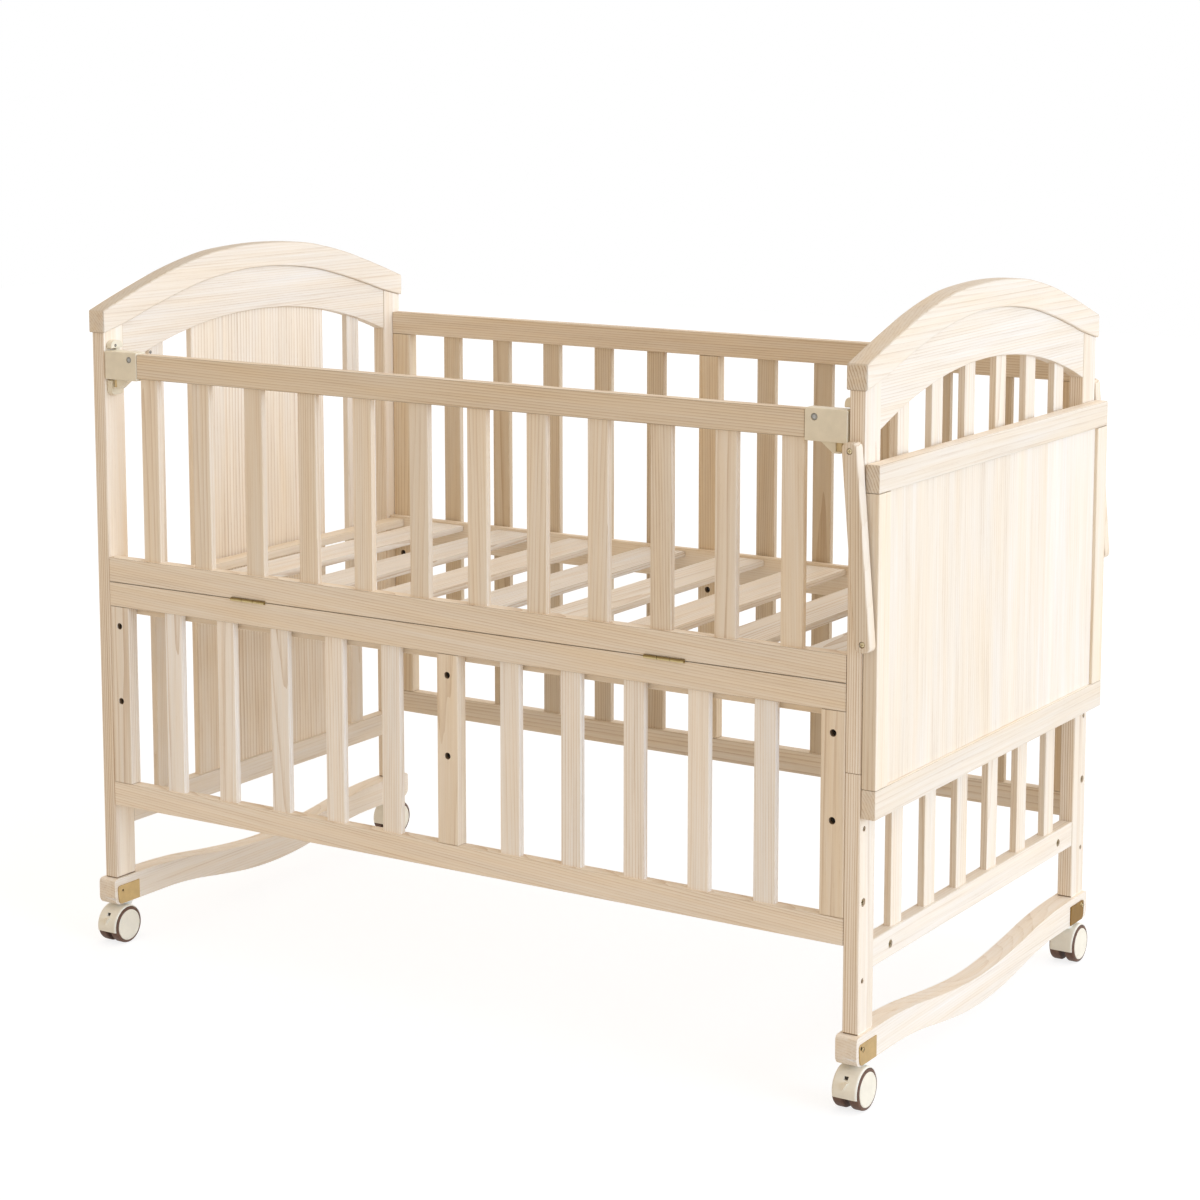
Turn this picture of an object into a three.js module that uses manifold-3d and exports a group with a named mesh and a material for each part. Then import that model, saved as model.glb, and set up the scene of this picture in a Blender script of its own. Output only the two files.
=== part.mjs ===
// Convertible wooden crib: fold-down front gate, swing-over table panel on one end,
// rockers under both ends and four swivelling twin-wheel casters.
// Millimetres, +Z up, +X towards the table end, -Y towards the gate.
// The origin is the middle of the footprint, on the floor.
import * as THREE from 'three';
import { mergeVertices } from 'three/addons/utils/BufferGeometryUtils.js';
import Module from 'manifold-3d';

const wasm = await Module();
wasm.setup();

// Overall frame
const length = 1040;            // outer face to outer face of the end posts
const width = 594;              // front face to back face
const postT = 18;               // post thickness along X
const postD = 35;               // post depth along Y
const railT = 16.2;             // thickness of rails, stiles and aprons
const railH = 29.5;             // height of the long rails
const slatW = 26;
const slatT = 8.4;
const fit = 0.3;                // gap between neighbouring pieces

// Heights above the floor
const footTopZ = 83.2;          // top of the rocker ends
const lowRailZ = 177;           // bottom of the lower long rails
const seamZ = 455.9;            // fold line of the gate
const seamGap = 0.5;
const topRailZ = 706.3;         // bottom of the top rails
const postSplitZ = 362.3;       // joint in the posts of the table end
const endRailZ = 147.5;         // bottom of the rails of both ends
const endRailH = 30;

// Arched caps and aprons, as distance from the middle and height
const capT = 24;
const capEnd = 299.4;
const capTop = [[0, 848], [77, 844.8], [126, 837.3], [175, 825.9], [221.5, 811.8], [266, 797.2],
  [capEnd, 785.4]];
const capLow = [[0, 817.5], [46, 815.9], [109, 808.2], [166.4, 795.2], [224.6, 778.9], [254.8, 769.4],
  [capEnd, 758.4]];
const arcR = 723;               // lower arch of the apron
const arcTop = 763.6;           // its crown

// End panels
const endSlats = 6;             // at the table end
const endSlatEdge = 47.95;      // first slat, in from the posts
const boardW = 265;             // wide centre board of the plain end
const endSlatY = 197.8;         // single slat on each side of the board

// Rockers: reach, then the upper and lower outlines, as distance from the middle and height
const rockerT = 25;
const rockerFront = 8;          // reach past the front and back of the frame
const rockerBack = 4.6;
const rockerTop = [[0, 63.5], [52, 65.7], [110, 71.6], [165, 78.7], [210, 82.2], [244, footTopZ]];
const rockerLow = [[0, 30.7], [52, 33], [105, 39.8], [150, 46.4], [190, 49.8], [226, 50.4]];
const rockerR = 6;              // rounding of the upper ends
const rockerEnd = 12;           // larger rounding below
const plateL = 38.5;            // brass plate on each rocker end
const plateIn = [5.2, 10.6];    // front and back, in from the rocker ends
const plateH = 23.2;
const plateZ = 51.4;
const plateT = 1.4;

// Slat patterns, stiles and adjustment holes
const gateSlats = 12;
const gateSlatEdge = 53.4;      // first slat, in from the ends of the rail
const stileW = 28.4;
const baySlats = 5;             // between two stiles
const holeR = 4;
const holeZ = [402, 309];
const boltZ = [139.8, 224, 303];  // bolts through the post faces
const boltR = [2.9, 4.6, 2.9];
const boltIn = 9.8;             // in from the front and back faces
const boltDeep = 3;
const endBoltR = 4.6;
const endBoltY = 221;           // bolts through the rail of the table end
const endBoltZ = 161.5;

// Mattress base
const baseTopZ = 455.1;
const baseRailH = 39.5;
const baseRailT = 10.5;
const baseSlats = 8;
const baseSlatW = 62.4;
const baseSlatEdge = 61.7;      // first slat, in from the ends
const baseSlatT = 8;
const baseSlatZ = 451.9;        // top face of the slats
const baseEndW = 23.5;
const baseEndT = 10.5;

// Gate latches
const latchL = 49.5;
const latchY0 = -0.8;           // front face, from the front of the frame
const latchY1 = 17;
const latchDrop = 2.7;          // housing, below the underside of the gate's top rail
const latchH = 34.1;
const latchX = 1.9;             // gap between latch housing and post
const tenonL = 15;
const leverY0 = 3.2;
const leverY1 = 13.2;
const leverDrop = 14.3;         // lever, below the rail
const catchLug = [-22.4, -4.8, 33.7, 43];  // lower and upper lug, from the underside of the rail
const catchT = 8;
const catchY0 = 4.2;
const catchY1 = 25;

// Gate hinges
const hingeX = 285;             // from the middle
const hingeL = 50;
const hingeAxisY = -1.6;        // from the front of the frame
const knuckleR = 2;
const leafT = 0.9;
const leafD = 13;

// Swing-over table
const tableGap = 0.8;           // panel to posts
const tableT = 16.2;
const tableDrop = 21.9;         // top of the panel, below the top rails
const tableH = 368.6;
const tableLowH = 31.3;         // its bottom rail
const tableHighH = 29.3;        // its top rail
const tableStileW = 27.5;
const tableBoardT = 8.2;
const pivotUp = 14.4;           // upper pivot, above the top of the panel
const pivotLowX = 8;            // outside the post faces
const pivotLow = 182.1;         // lower pivot, below the top of the panel
const armW = 17.6;
const armT = 14.4;
const armGap = 2.9;            // lets the arms pass the cap ends
const pinR = 3;
const pinL = 14;
const headR = 4.2;
const headT = 1;

// Casters
const wheelR = 22.4;
const wheelHalf = 16.5;         // half width of a wheel pair
const webHalf = 3.2;
const hoodR = 24.5;
const hoodLead = 23.9;          // reach of the hood towards its stem
const hoodHalf = 15.2;
const hoodCutZ = 17;
const stemFront = 24.8;          // swivel axes, in from the faces of the frame
const stemBack = 30;
const trail = 12;
const stemR = 4;
const stemTopZ = 71;
const collarR = 9;

// Derived positions
const over = wheelHalf - postT / 2;
const xL = -(length + tableGap + tableT - over) / 2;
const xR = xL + length;
const yF = -width / 2;
const yB = width / 2;
const xMid = (xL + xR) / 2;
const x0 = xL + postT + fit;              // ends of the long rails
const x1 = xR - postT - fit;
const railY = width / 2 - postD - fit;    // ends of the end rails
const endSlatPitch = (2 * (railY - endSlatEdge) - slatW) / (endSlats - 1);
const gateSlatPitch = (x1 - x0 - 2 * gateSlatEdge - slatW) / (gateSlats - 1);
const baseSlatPitch = (x1 - x0 - 2 * baseSlatEdge - baseSlatW) / (baseSlats - 1);
const latchZ0 = topRailZ - latchDrop;
const latchZ1 = latchZ0 + latchH;
const leverZ = topRailZ - leverDrop;
const catchZ = catchLug.map((z) => topRailZ + z);
const tableZ1 = topRailZ - tableDrop;
const tableZ0 = tableZ1 - tableH;
const tableLowZ = tableZ0 + tableLowH;
const tableHighZ = tableZ1 - tableHighH;
const pivotUpZ = tableZ1 + pivotUp;
const pivotLowZ = tableZ1 - pivotLow;

const mat = (color, roughness, metalness = 0) =>
  new THREE.MeshStandardMaterial({ color, roughness, metalness });
const wood = () => mat(0xe3cba8, 0.62);
const plastic = () => mat(0xe6dcc0, 0.45);
const brass = () => mat(0xb8924a, 0.35, 0.9);

const group = new THREE.Group();

// Solids
function solid(geometry) {
  const g = geometry.index ? geometry : geometry.clone();
  g.deleteAttribute('normal');
  g.deleteAttribute('uv');
  const m = mergeVertices(g, 1e-4);
  return new wasm.Manifold(new wasm.Mesh({
    numProp: 3,
    vertProperties: new Float32Array(m.attributes.position.array),
    triVerts: new Uint32Array(m.index.array),
  }));
}
function geometryOf(s) {
  const m = s.getMesh();
  const g = new THREE.BufferGeometry();
  g.setAttribute('position', new THREE.BufferAttribute(new Float32Array(m.vertProperties), 3));
  g.setIndex(new THREE.BufferAttribute(new Uint32Array(m.triVerts), 1));
  g.computeVertexNormals();
  return g;
}
const join = (list) => list.reduce((a, b) => a.add(b));
const cut = (a, list) => list.reduce((s, b) => s.subtract(b), a);

function block(x0, x1, y0, y1, z0, z1) {
  const g = new THREE.BoxGeometry(x1 - x0, y1 - y0, z1 - z0);
  g.translate((x0 + x1) / 2, (y0 + y1) / 2, (z0 + z1) / 2);
  return solid(g);
}
// Outline in Y and Z, pushed along X
function alongX(points, x0, x1) {
  const g = new THREE.ExtrudeGeometry(new THREE.Shape(points), {
    depth: x1 - x0, bevelEnabled: false, curveSegments: 12 });
  g.applyMatrix4(new THREE.Matrix4().makeBasis(new THREE.Vector3(0, 1, 0),
    new THREE.Vector3(0, 0, 1), new THREE.Vector3(1, 0, 0)));
  g.translate(x0, 0, 0);
  return solid(g);
}
// Outline in X and Z, pushed along Y
function alongY(points, y0, y1) {
  const g = new THREE.ExtrudeGeometry(new THREE.Shape(points), {
    depth: y1 - y0, bevelEnabled: false, curveSegments: 12 });
  g.applyMatrix4(new THREE.Matrix4().makeBasis(new THREE.Vector3(1, 0, 0),
    new THREE.Vector3(0, 0, 1), new THREE.Vector3(0, -1, 0)));
  g.translate(0, y1, 0);
  return solid(g);
}
function rod(axis, r, a0, a1, p, q, segments = 16) {
  const g = new THREE.CylinderGeometry(r, r, a1 - a0, segments);
  if (axis === 'x') { g.rotateZ(Math.PI / 2); g.translate((a0 + a1) / 2, p, q); }
  if (axis === 'y') g.translate(p, (a0 + a1) / 2, q);
  if (axis === 'z') { g.rotateX(Math.PI / 2); g.translate(p, q, (a0 + a1) / 2); }
  return solid(g);
}
function piece(name, shape, material) {
  const mesh = new THREE.Mesh(geometryOf(shape), material);
  mesh.name = name;
  group.add(mesh);
}

// Arched outlines
const spline = (pts, n) => new THREE.SplineCurve(pts.map(([a, b]) => new THREE.Vector2(a, b)))
  .getPoints(n);
function mirrored(pts, n = 14) {
  const half = pts[0][0] === 0
    ? spline([[-pts[1][0], pts[1][1]], ...pts], n + 3).filter((p) => p.x > -1e-6) : spline(pts, n);
  if (half[0].x > 1e-3) half.unshift(new THREE.Vector2(0, pts[0][1]));
  half[0].x = 0;
  return [...half.slice(1).reverse().map((p) => new THREE.Vector2(-p.x, p.y)), ...half];
}
const capTopLine = mirrored(capTop);
const capLowLine = mirrored(capLow);
function heightOn(line, y) {
  for (let i = 1; i < line.length; i++) {
    const a = line[i - 1], b = line[i];
    if (y <= b.x + 1e-9) return a.y + (b.y - a.y) * (y - a.x) / (b.x - a.x);
  }
  return line[line.length - 1].y;
}
// The stretch of a line between two positions
function part(line, y0, y1, dz = 0) {
  const inner = line.filter((p) => p.x > y0 + 1 && p.x < y1 - 1);
  return [new THREE.Vector2(y0, heightOn(line, y0)), ...inner,
    new THREE.Vector2(y1, heightOn(line, y1))].map((p) => new THREE.Vector2(p.x, p.y + dz));
}
const arcLine = Array.from({ length: 25 }, (_, i) => {
  const y = -288 + 24 * i;
  return new THREE.Vector2(y, arcTop - arcR + Math.sqrt(arcR * arcR - y * y));
});

function cap(name, xc) {
  const outline = [...capTopLine, ...[...capLowLine].reverse()];
  piece(name, alongX(outline, xc - capT / 2, xc + capT / 2), wood());
}
function apron(name, xc) {
  const edge = width / 2 - postD - fit;
  const outline = [...part(capLowLine, -edge, edge, -fit), ...part(arcLine, -edge, edge).reverse()];
  piece(name, alongX(outline, xc - railT / 2, xc + railT / 2), wood());
}
function postTop(y0, y1, z0) {
  return [new THREE.Vector2(y0, z0), new THREE.Vector2(y1, z0),
    ...part(capLowLine, y0, y1, -fit).reverse()];
}
const boltHoles = (x, y, zs, rs) => zs.map((z, i) => rod('x', rs[i], x - boltDeep, x + 1, y, z, 14));

// Plain end: two posts, cap, apron, rail, centre board and two slats
const xlc = xL + postT / 2;
const xrc = xR - postT / 2;
const slatTopAt = (y0, y1) => Math.min(heightOn(arcLine, y0), heightOn(arcLine, y1)) - fit;
function upright(xc, t, y0, y1, z0) {
  const outline = [new THREE.Vector2(y0, z0), new THREE.Vector2(y1, z0),
    ...part(arcLine, y0, y1, -fit).reverse()];
  return alongX(outline, xc - t / 2, xc + t / 2);
}
piece('left_post_front', alongX(postTop(yF, yF + postD, footTopZ + fit), xL, xL + postT), wood());
piece('left_post_back', alongX(postTop(yB - postD, yB, footTopZ + fit), xL, xL + postT), wood());
cap('left_cap', xlc);
apron('left_apron', xlc);
const endTop = endRailZ + endRailH;
piece('left_rail', block(xlc - railT / 2, xlc + railT / 2, -railY, railY, endRailZ, endTop), wood());
piece('left_board', upright(xlc, slatT, -boardW / 2, boardW / 2, endTop + fit), wood());
for (const [side, s] of [['front', -1], ['back', 1]]) {
  const yc = s * endSlatY;
  piece(`left_slat_${side}`, upright(xlc, slatT, yc - slatW / 2, yc + slatW / 2, endTop + fit), wood());
}

// Table end: posts in two lengths, cap, apron and a rail with six slats let into it
for (const [side, s] of [['front', -1], ['back', 1]]) {
  const y0 = s < 0 ? yF : yB - postD;
  const y1 = y0 + postD;
  const yFace = s < 0 ? yF : yB;
  const yb = s < 0 ? yF + boltIn : yB - boltIn;
  const low = block(xR - postT, xR, y0, y1, footTopZ + fit, postSplitZ - fit / 2);
  piece(`right_post_${side}_lower`, cut(low, boltHoles(xR, yb, boltZ, boltR)), wood());
  const bore = rod('y', pinR + fit, Math.min(yFace, yFace - s * (pinL + fit)) - (s < 0 ? 1 : 0),
    Math.max(yFace, yFace - s * (pinL + fit)) + (s > 0 ? 1 : 0), xrc, pivotUpZ, 20);
  const high = alongX(postTop(y0, y1, postSplitZ + fit / 2), xR - postT, xR);
  piece(`right_post_${side}_upper`, cut(high, [bore]), wood());
}
cap('right_cap', xrc);
apron('right_apron', xrc);
const rightBars = [block(xrc - railT / 2, xrc + railT / 2, -railY, railY, endRailZ, endTop)];
for (let i = 0; i < endSlats; i++) {
  const yc = (i - (endSlats - 1) / 2) * endSlatPitch;
  rightBars.push(upright(xrc, slatT, yc - slatW / 2, yc + slatW / 2, endTop - 8));
}
piece('right_rail_slats', cut(join(rightBars), [-1, 1].flatMap((s) =>
  boltHoles(xrc + railT / 2, s * endBoltY, [endBoltZ], [endBoltR]))), wood());

// Rockers, with a bore for each caster stem, and their brass end plates
function rocker(name, xc) {
  const top = mirrored(rockerTop, 12);
  const low = mirrored(rockerLow, 12);
  const r = rockerR;
  const e = rockerEnd;
  const lowZ = rockerLow[rockerLow.length - 1][1];
  const y0 = yF - rockerFront;
  const y1 = yB + rockerBack;
  const shape = new THREE.Shape();
  shape.moveTo(low[0].x, low[0].y);
  for (const p of low.slice(1)) shape.lineTo(p.x, p.y);
  shape.lineTo(y1 - e, lowZ);
  shape.quadraticCurveTo(y1, lowZ, y1, lowZ + e);
  shape.lineTo(y1, footTopZ - r);
  shape.quadraticCurveTo(y1, footTopZ, y1 - r, footTopZ);
  for (const p of [...top].reverse()) shape.lineTo(p.x, p.y);
  shape.lineTo(y0 + r, footTopZ);
  shape.quadraticCurveTo(y0, footTopZ, y0, footTopZ - r);
  shape.lineTo(y0, lowZ + e);
  shape.quadraticCurveTo(y0, lowZ, y0 + e, lowZ);
  const body = alongX(shape.getPoints(5), xc - rockerT / 2, xc + rockerT / 2);
  const bores = [yF + stemFront, yB - stemBack].map((y) => rod('z', stemR + fit, 40, stemTopZ + 1.5, xc, y, 18));
  piece(name, cut(body, bores), wood());
}
function footPlate(name, xc, s) {
  const px = xc + rockerT / 2 + 0.05;
  const yEnd = s < 0 ? yF - rockerFront + plateIn[0] : yB + rockerBack - plateIn[1];
  const yIn = yEnd - s * plateL;
  const z0 = plateZ;
  const z1 = z0 + plateH;
  const c = 4;
  const v = (y, z) => new THREE.Vector2(y, z);
  let pts = [v(yIn, z0), v(yEnd - s * c * 1.6, z0), v(yEnd - s * c * 0.5, z0 + c * 0.6),
    v(yEnd, z0 + c * 1.7), v(yEnd, z1 - c), v(yEnd - s * c * 0.3, z1 - c * 0.3), v(yEnd - s * c, z1),
    v(yIn, z1)];
  if (s < 0) pts = pts.reverse();
  piece(name, alongX(pts, px, px + plateT), brass());
}
rocker('rocker_left', xlc);
rocker('rocker_right', xrc);
for (const [tag, xc, s] of [['left_front', xlc, -1], ['left_back', xlc, 1],
  ['right_front', xrc, -1], ['right_back', xrc, 1]]) footPlate(`foot_plate_${tag}`, xc, s);

// Long frames: rails between the posts, stiles flush with them, slats set back in the middle
const stileX = [x0, xMid - stileW / 2, x1 - stileW];
function baySlatX() {
  const list = [];
  for (let b = 0; b < 2; b++) {
    const a = stileX[b] + stileW;
    const gap = (stileX[b + 1] - a - baySlats * slatW) / (baySlats + 1);
    for (let i = 0; i < baySlats; i++) list.push(a + gap + i * (slatW + gap));
  }
  return list;
}
const holes = (x, ya, yb, zs) => zs.map((z) => rod('y', holeR, ya - 1, yb + 1, x, z, 14));

const hingeCuts = (z0, z1) => [-1, 1].map((s) => {
  const xc = xMid + s * hingeX;
  const leaf = block(xc - hingeL / 2 - fit, xc + hingeL / 2 + fit, yF - 1, yF + hingeAxisY + leafD + 0.6,
    z0, z1);
  const knuckle = block(xc - hingeL / 2 - fit, xc + hingeL / 2 + fit, yF - 1, yF + 0.9,
    seamZ - knuckleR - 0.5, seamZ + knuckleR + 0.5);
  return leaf.add(knuckle);
});
const frontTop = seamZ - seamGap / 2;
const frontRailZ = frontTop - railH;
piece('front_top_rail', cut(block(x0, x1, yF, yF + railT, frontRailZ, frontTop),
  hingeCuts(frontTop - leafT - 0.25, frontTop + 1)), wood());
const ySlat0 = yF + (railT - slatT) / 2;
const lowTop = lowRailZ + railH;
const frontBars = [block(x0, x1, yF, yF + railT, lowRailZ, lowTop)];
for (const x of baySlatX()) {
  frontBars.push(block(x, x + slatW, ySlat0, ySlat0 + slatT, lowTop - 6, frontRailZ - fit));
}
piece('front_rail_slats', join(frontBars), wood());
['left', 'centre', 'right'].forEach((side, i) => {
  const x = stileX[i];
  piece(`front_stile_${side}`, cut(block(x, x + stileW, yF, yF + railT, lowTop + fit, frontRailZ - fit),
    holes(x + stileW / 2, yF, yF + railT, holeZ)), wood());
});

piece('back_top_rail', block(x0, x1, yB - railT, yB, topRailZ, topRailZ + railH), wood());
const ySlatB = yB - (railT + slatT) / 2;
const backBars = [block(x0, x1, yB - railT, yB, lowRailZ, lowTop)];
for (const x of baySlatX()) {
  backBars.push(block(x, x + slatW, ySlatB, ySlatB + slatT, lowTop - 6, topRailZ - fit));
}
for (const x of stileX) {
  backBars.push(cut(block(x, x + stileW, yB - railT, yB, lowTop - 6, topRailZ - fit),
    holes(x + stileW / 2, yB - railT, yB, holeZ)));
}
piece('back_rail_slats', join(backBars), wood());

// Mattress base: two long rails, end members and cross slats let into the front rail
const by0 = yF + railT + fit;
const by1 = yB - railT - fit;
const baseZ0 = baseTopZ - baseRailH;
const baseBars = [block(x0 + 0.3, x1 - 0.3, by0, by0 + baseRailT, baseZ0, baseTopZ)];
for (let i = 0; i < baseSlats; i++) {
  const xc = xMid + (i - (baseSlats - 1) / 2) * baseSlatPitch;
  baseBars.push(block(xc - baseSlatW / 2, xc + baseSlatW / 2, by0 + baseRailT - 4, by1 - baseRailT - fit,
    baseSlatZ - baseSlatT, baseSlatZ));
}
piece('base_rail_slats', join(baseBars), wood());
piece('base_rail_back', block(x0 + 0.3, x1 - 0.3, by1 - baseRailT, by1, baseZ0, baseTopZ), wood());
for (const [side, x] of [['left', x0 + 0.3], ['right', x1 - 0.3 - baseEndW]]) {
  piece(`base_end_${side}`, block(x, x + baseEndW, by0 + baseRailT + fit, by1 - baseRailT - fit,
    baseSlatZ - baseEndT, baseSlatZ), wood());
}

// Gate: top rail with tenons in the latch housings, and a lower rail with twelve slats
const gateZ0 = seamZ + seamGap / 2;
const capX0 = x0 - fit + latchX;            // outer end of the left latch housing
const capX1 = x1 + fit - latchX;
const railX0 = capX0 + latchL + fit;
const railX1 = capX1 - latchL - fit;
const tenon = (a, b) => block(a, b, yF + 2.4, yF + railT - 2.4, topRailZ + 3, topRailZ + railH - 3);
piece('gate_top_rail', join([block(railX0, railX1, yF, yF + railT, topRailZ, topRailZ + railH),
  tenon(railX0 - tenonL, railX0 + 1), tenon(railX1 - 1, railX1 + tenonL)]), wood());
const gateBars = [cut(block(x0, x1, yF, yF + railT, gateZ0, gateZ0 + railH),
  hingeCuts(gateZ0 - 1, gateZ0 + leafT + 0.25))];
for (let i = 0; i < gateSlats; i++) {
  const xc = xMid + (i - (gateSlats - 1) / 2) * gateSlatPitch;
  gateBars.push(block(xc - slatW / 2, xc + slatW / 2, ySlat0, ySlat0 + slatT, gateZ0 + railH - 6,
    topRailZ - fit));
}
piece('gate_rail_slats', join(gateBars), wood());

// Latches: housing on the rail end, sliding release lever under it, catch on the post
const at = (x, s) => (s > 0 ? x : 2 * xMid - x);    // right-hand position, mirrored for the left
const span = (a, b, s) => [Math.min(at(a, s), at(b, s)), Math.max(at(a, s), at(b, s))];
for (const [side, s] of [['left', -1], ['right', 1]]) {
  const [hx0, hx1] = span(capX1 - latchL, capX1, s);
  const [tx0, tx1] = span(capX1 - latchL - 2, capX1 - latchL + tenonL + 0.6, s);
  const leverA = capX1 - 32.6;
  const leverB = capX1 - 8.8;
  const [lx0, lx1] = span(leverA - 0.4, leverB + 0.4, s);
  const housing = cut(block(hx0, hx1, yF + latchY0, yF + latchY1, latchZ0, latchZ1), [
    block(tx0, tx1, yF + 2, yF + railT - 2, topRailZ + 2.6, topRailZ + railH - 2.6),
    block(lx0, lx1, yF + leverY0 - 0.4, yF + leverY1 + 0.4, latchZ0 - 1, latchZ0 + 12)]);
  piece(`latch_housing_${side}`, housing, plastic());
  const pts = [[leverA, latchZ0 - 0.3], [leverA + 14.4, leverZ], [leverB, leverZ],
    [leverB, latchZ0 + 5.5], [leverA, latchZ0 + 5.5]].map(([x, z]) => new THREE.Vector2(at(x, s), z));
  piece(`latch_lever_${side}`, alongY(s > 0 ? pts : pts.reverse(), yF + leverY0, yF + leverY1), plastic());
  const face = xR - postT - fit;
  const [ex0, ex1] = span(face - catchT, face, s);
  const [sx0, sx1] = span(face - 3, face, s);
  const lug = (za, zb) => {
    const up = za > 720;
    const r = up ? 8 : 6;
    const o = new THREE.Shape();
    const zs = up ? za : zb;
    const ze = up ? zb : za;
    o.moveTo(yF + catchY0, zs);
    o.lineTo(yF + catchY0, ze + (up ? -r : r));
    o.quadraticCurveTo(yF + catchY0, ze, yF + catchY0 + r, ze);
    o.lineTo(yF + catchY1 - r, ze);
    o.quadraticCurveTo(yF + catchY1, ze, yF + catchY1, ze + (up ? -r : r));
    o.lineTo(yF + catchY1, zs);
    return alongX(o.getPoints(4), ex0, ex1);
  };
  piece(`latch_catch_${side}`, join([lug(catchZ[0], catchZ[1]), lug(catchZ[2], catchZ[3]),
    block(sx0, sx1, yF + latchY1 + 1, yF + catchY1, catchZ[1] - 4, catchZ[2] + 2)]), plastic());
}

// Butt hinges on the fold line: three knuckles, two on the upper leaf, which carries the pin
for (const [side, s] of [['left', -1], ['right', 1]]) {
  const xc = xMid + s * hingeX;
  const yA = yF + hingeAxisY;
  const third = hingeL / 3;
  const a = xc - hingeL / 2;
  const b = xc + hingeL / 2;
  const g = 0.3;
  const bore = rod('x', 1.1, a - 1, b + 1, yA, seamZ, 12);
  const upper = join([block(a, b, yA, yA + leafD, seamZ + 0.25, seamZ + 0.25 + leafT),
    rod('x', knuckleR, a, a + third - g, yA, seamZ, 16), rod('x', knuckleR, b - third + g, b, yA, seamZ, 16)]);
  const midGap = block(a + third - g, b - third + g, yA - 3, yA + knuckleR + 0.35, seamZ - 3, seamZ + 3);
  piece(`hinge_${side}_upper`, upper.subtract(midGap).add(rod('x', 0.8, a + 2, b - 2, yA, seamZ, 12)), brass());
  const lower = join([block(a, b, yA, yA + leafD, seamZ - 0.25 - leafT, seamZ - 0.25),
    rod('x', knuckleR, a + third + g, b - third - g, yA, seamZ, 16)]);
  const sides = [block(a - 1, a + third + g, yA - 3, yA + knuckleR + 0.35, seamZ - 3, seamZ + 3),
    block(b - third - g, b + 1, yA - 3, yA + knuckleR + 0.35, seamZ - 3, seamZ + 3)];
  piece(`hinge_${side}_lower`, cut(lower, [...sides, bore]), brass());
}

// Swing-over table: framed board outside the table end, on two pivoting arms
const tx0 = xR + tableGap;
const tx1 = tx0 + tableT;
const txc = (tx0 + tx1) / 2;
const pivX = xR + pivotLowX;
piece('table_rail_bottom', block(tx0, tx1, yF, yB, tableZ0, tableLowZ - fit / 2), wood());
piece('table_rail_top', block(tx0, tx1, yF, yB, tableHighZ + fit / 2, tableZ1), wood());
for (const [side, s] of [['front', -1], ['back', 1]]) {
  const face = s * width / 2;
  const [y0, y1] = [Math.min(face, face - s * tableStileW), Math.max(face, face - s * tableStileW)];
  const bore = rod('y', pinR + fit, Math.min(face + s, face - s * (pinL + fit)),
    Math.max(face + s, face - s * (pinL + fit)), pivX, pivotLowZ, 20);
  piece(`table_stile_${side}`, cut(block(tx0, tx1, y0, y1, tableLowZ + fit / 2, tableHighZ - fit / 2),
    [bore]), wood());
}
piece('table_board', block(txc - tableBoardT / 2, txc + tableBoardT / 2, yF + tableStileW + fit,
  yB - tableStileW - fit, tableLowZ + fit, tableHighZ - fit), wood());
for (const [side, s] of [['front', -1], ['back', 1]]) {
  const up = new THREE.Vector2(xrc, pivotUpZ);
  const low = new THREE.Vector2(pivX, pivotLowZ);
  const along = low.clone().sub(up);
  const arm = along.length();
  const dir = along.normalize();
  const side2 = new THREE.Vector2(-dir.y, dir.x);
  const spot = (a, c) => up.clone().addScaledVector(dir, a).addScaledVector(side2, c);
  const h = armW / 2;
  const outline = [];
  for (const [a0, c0, start] of [[arm + h, h, 0], [arm + h, -h, 0], [-h, -h, 0], [-h, h, 0]]) {
    const r = 6;
    const sa = Math.sign(a0 - arm / 2);
    const sc = Math.sign(c0);
    const turn = sa === sc ? [90, 60, 30, 0] : [0, 30, 60, 90];
    for (const t of turn) {
      const q = t * Math.PI / 180 + start;
      outline.push(spot(a0 - sa * (r - r * Math.cos(q)), c0 - sc * (r - r * Math.sin(q))));
    }
  }
  const inner = s * (width / 2 + armGap);
  const outer = inner + s * armT;
  const bar = alongY(outline.reverse(), Math.min(inner, outer), Math.max(inner, outer));
  const pins = [up, low].map((p) => {
    const a = inner + s, b = s * (width / 2 - pinL);
    return rod('y', pinR, Math.min(a, b), Math.max(a, b), p.x, p.y, 20);
  });
  const heads = [up, low].map((p) => rod('y', headR, Math.min(outer - s, outer + s * headT),
    Math.max(outer - s, outer + s * headT), p.x, p.y, 16));
  piece(`table_arm_${side}`, join([bar, ...pins, ...heads]), wood());
}

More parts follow.
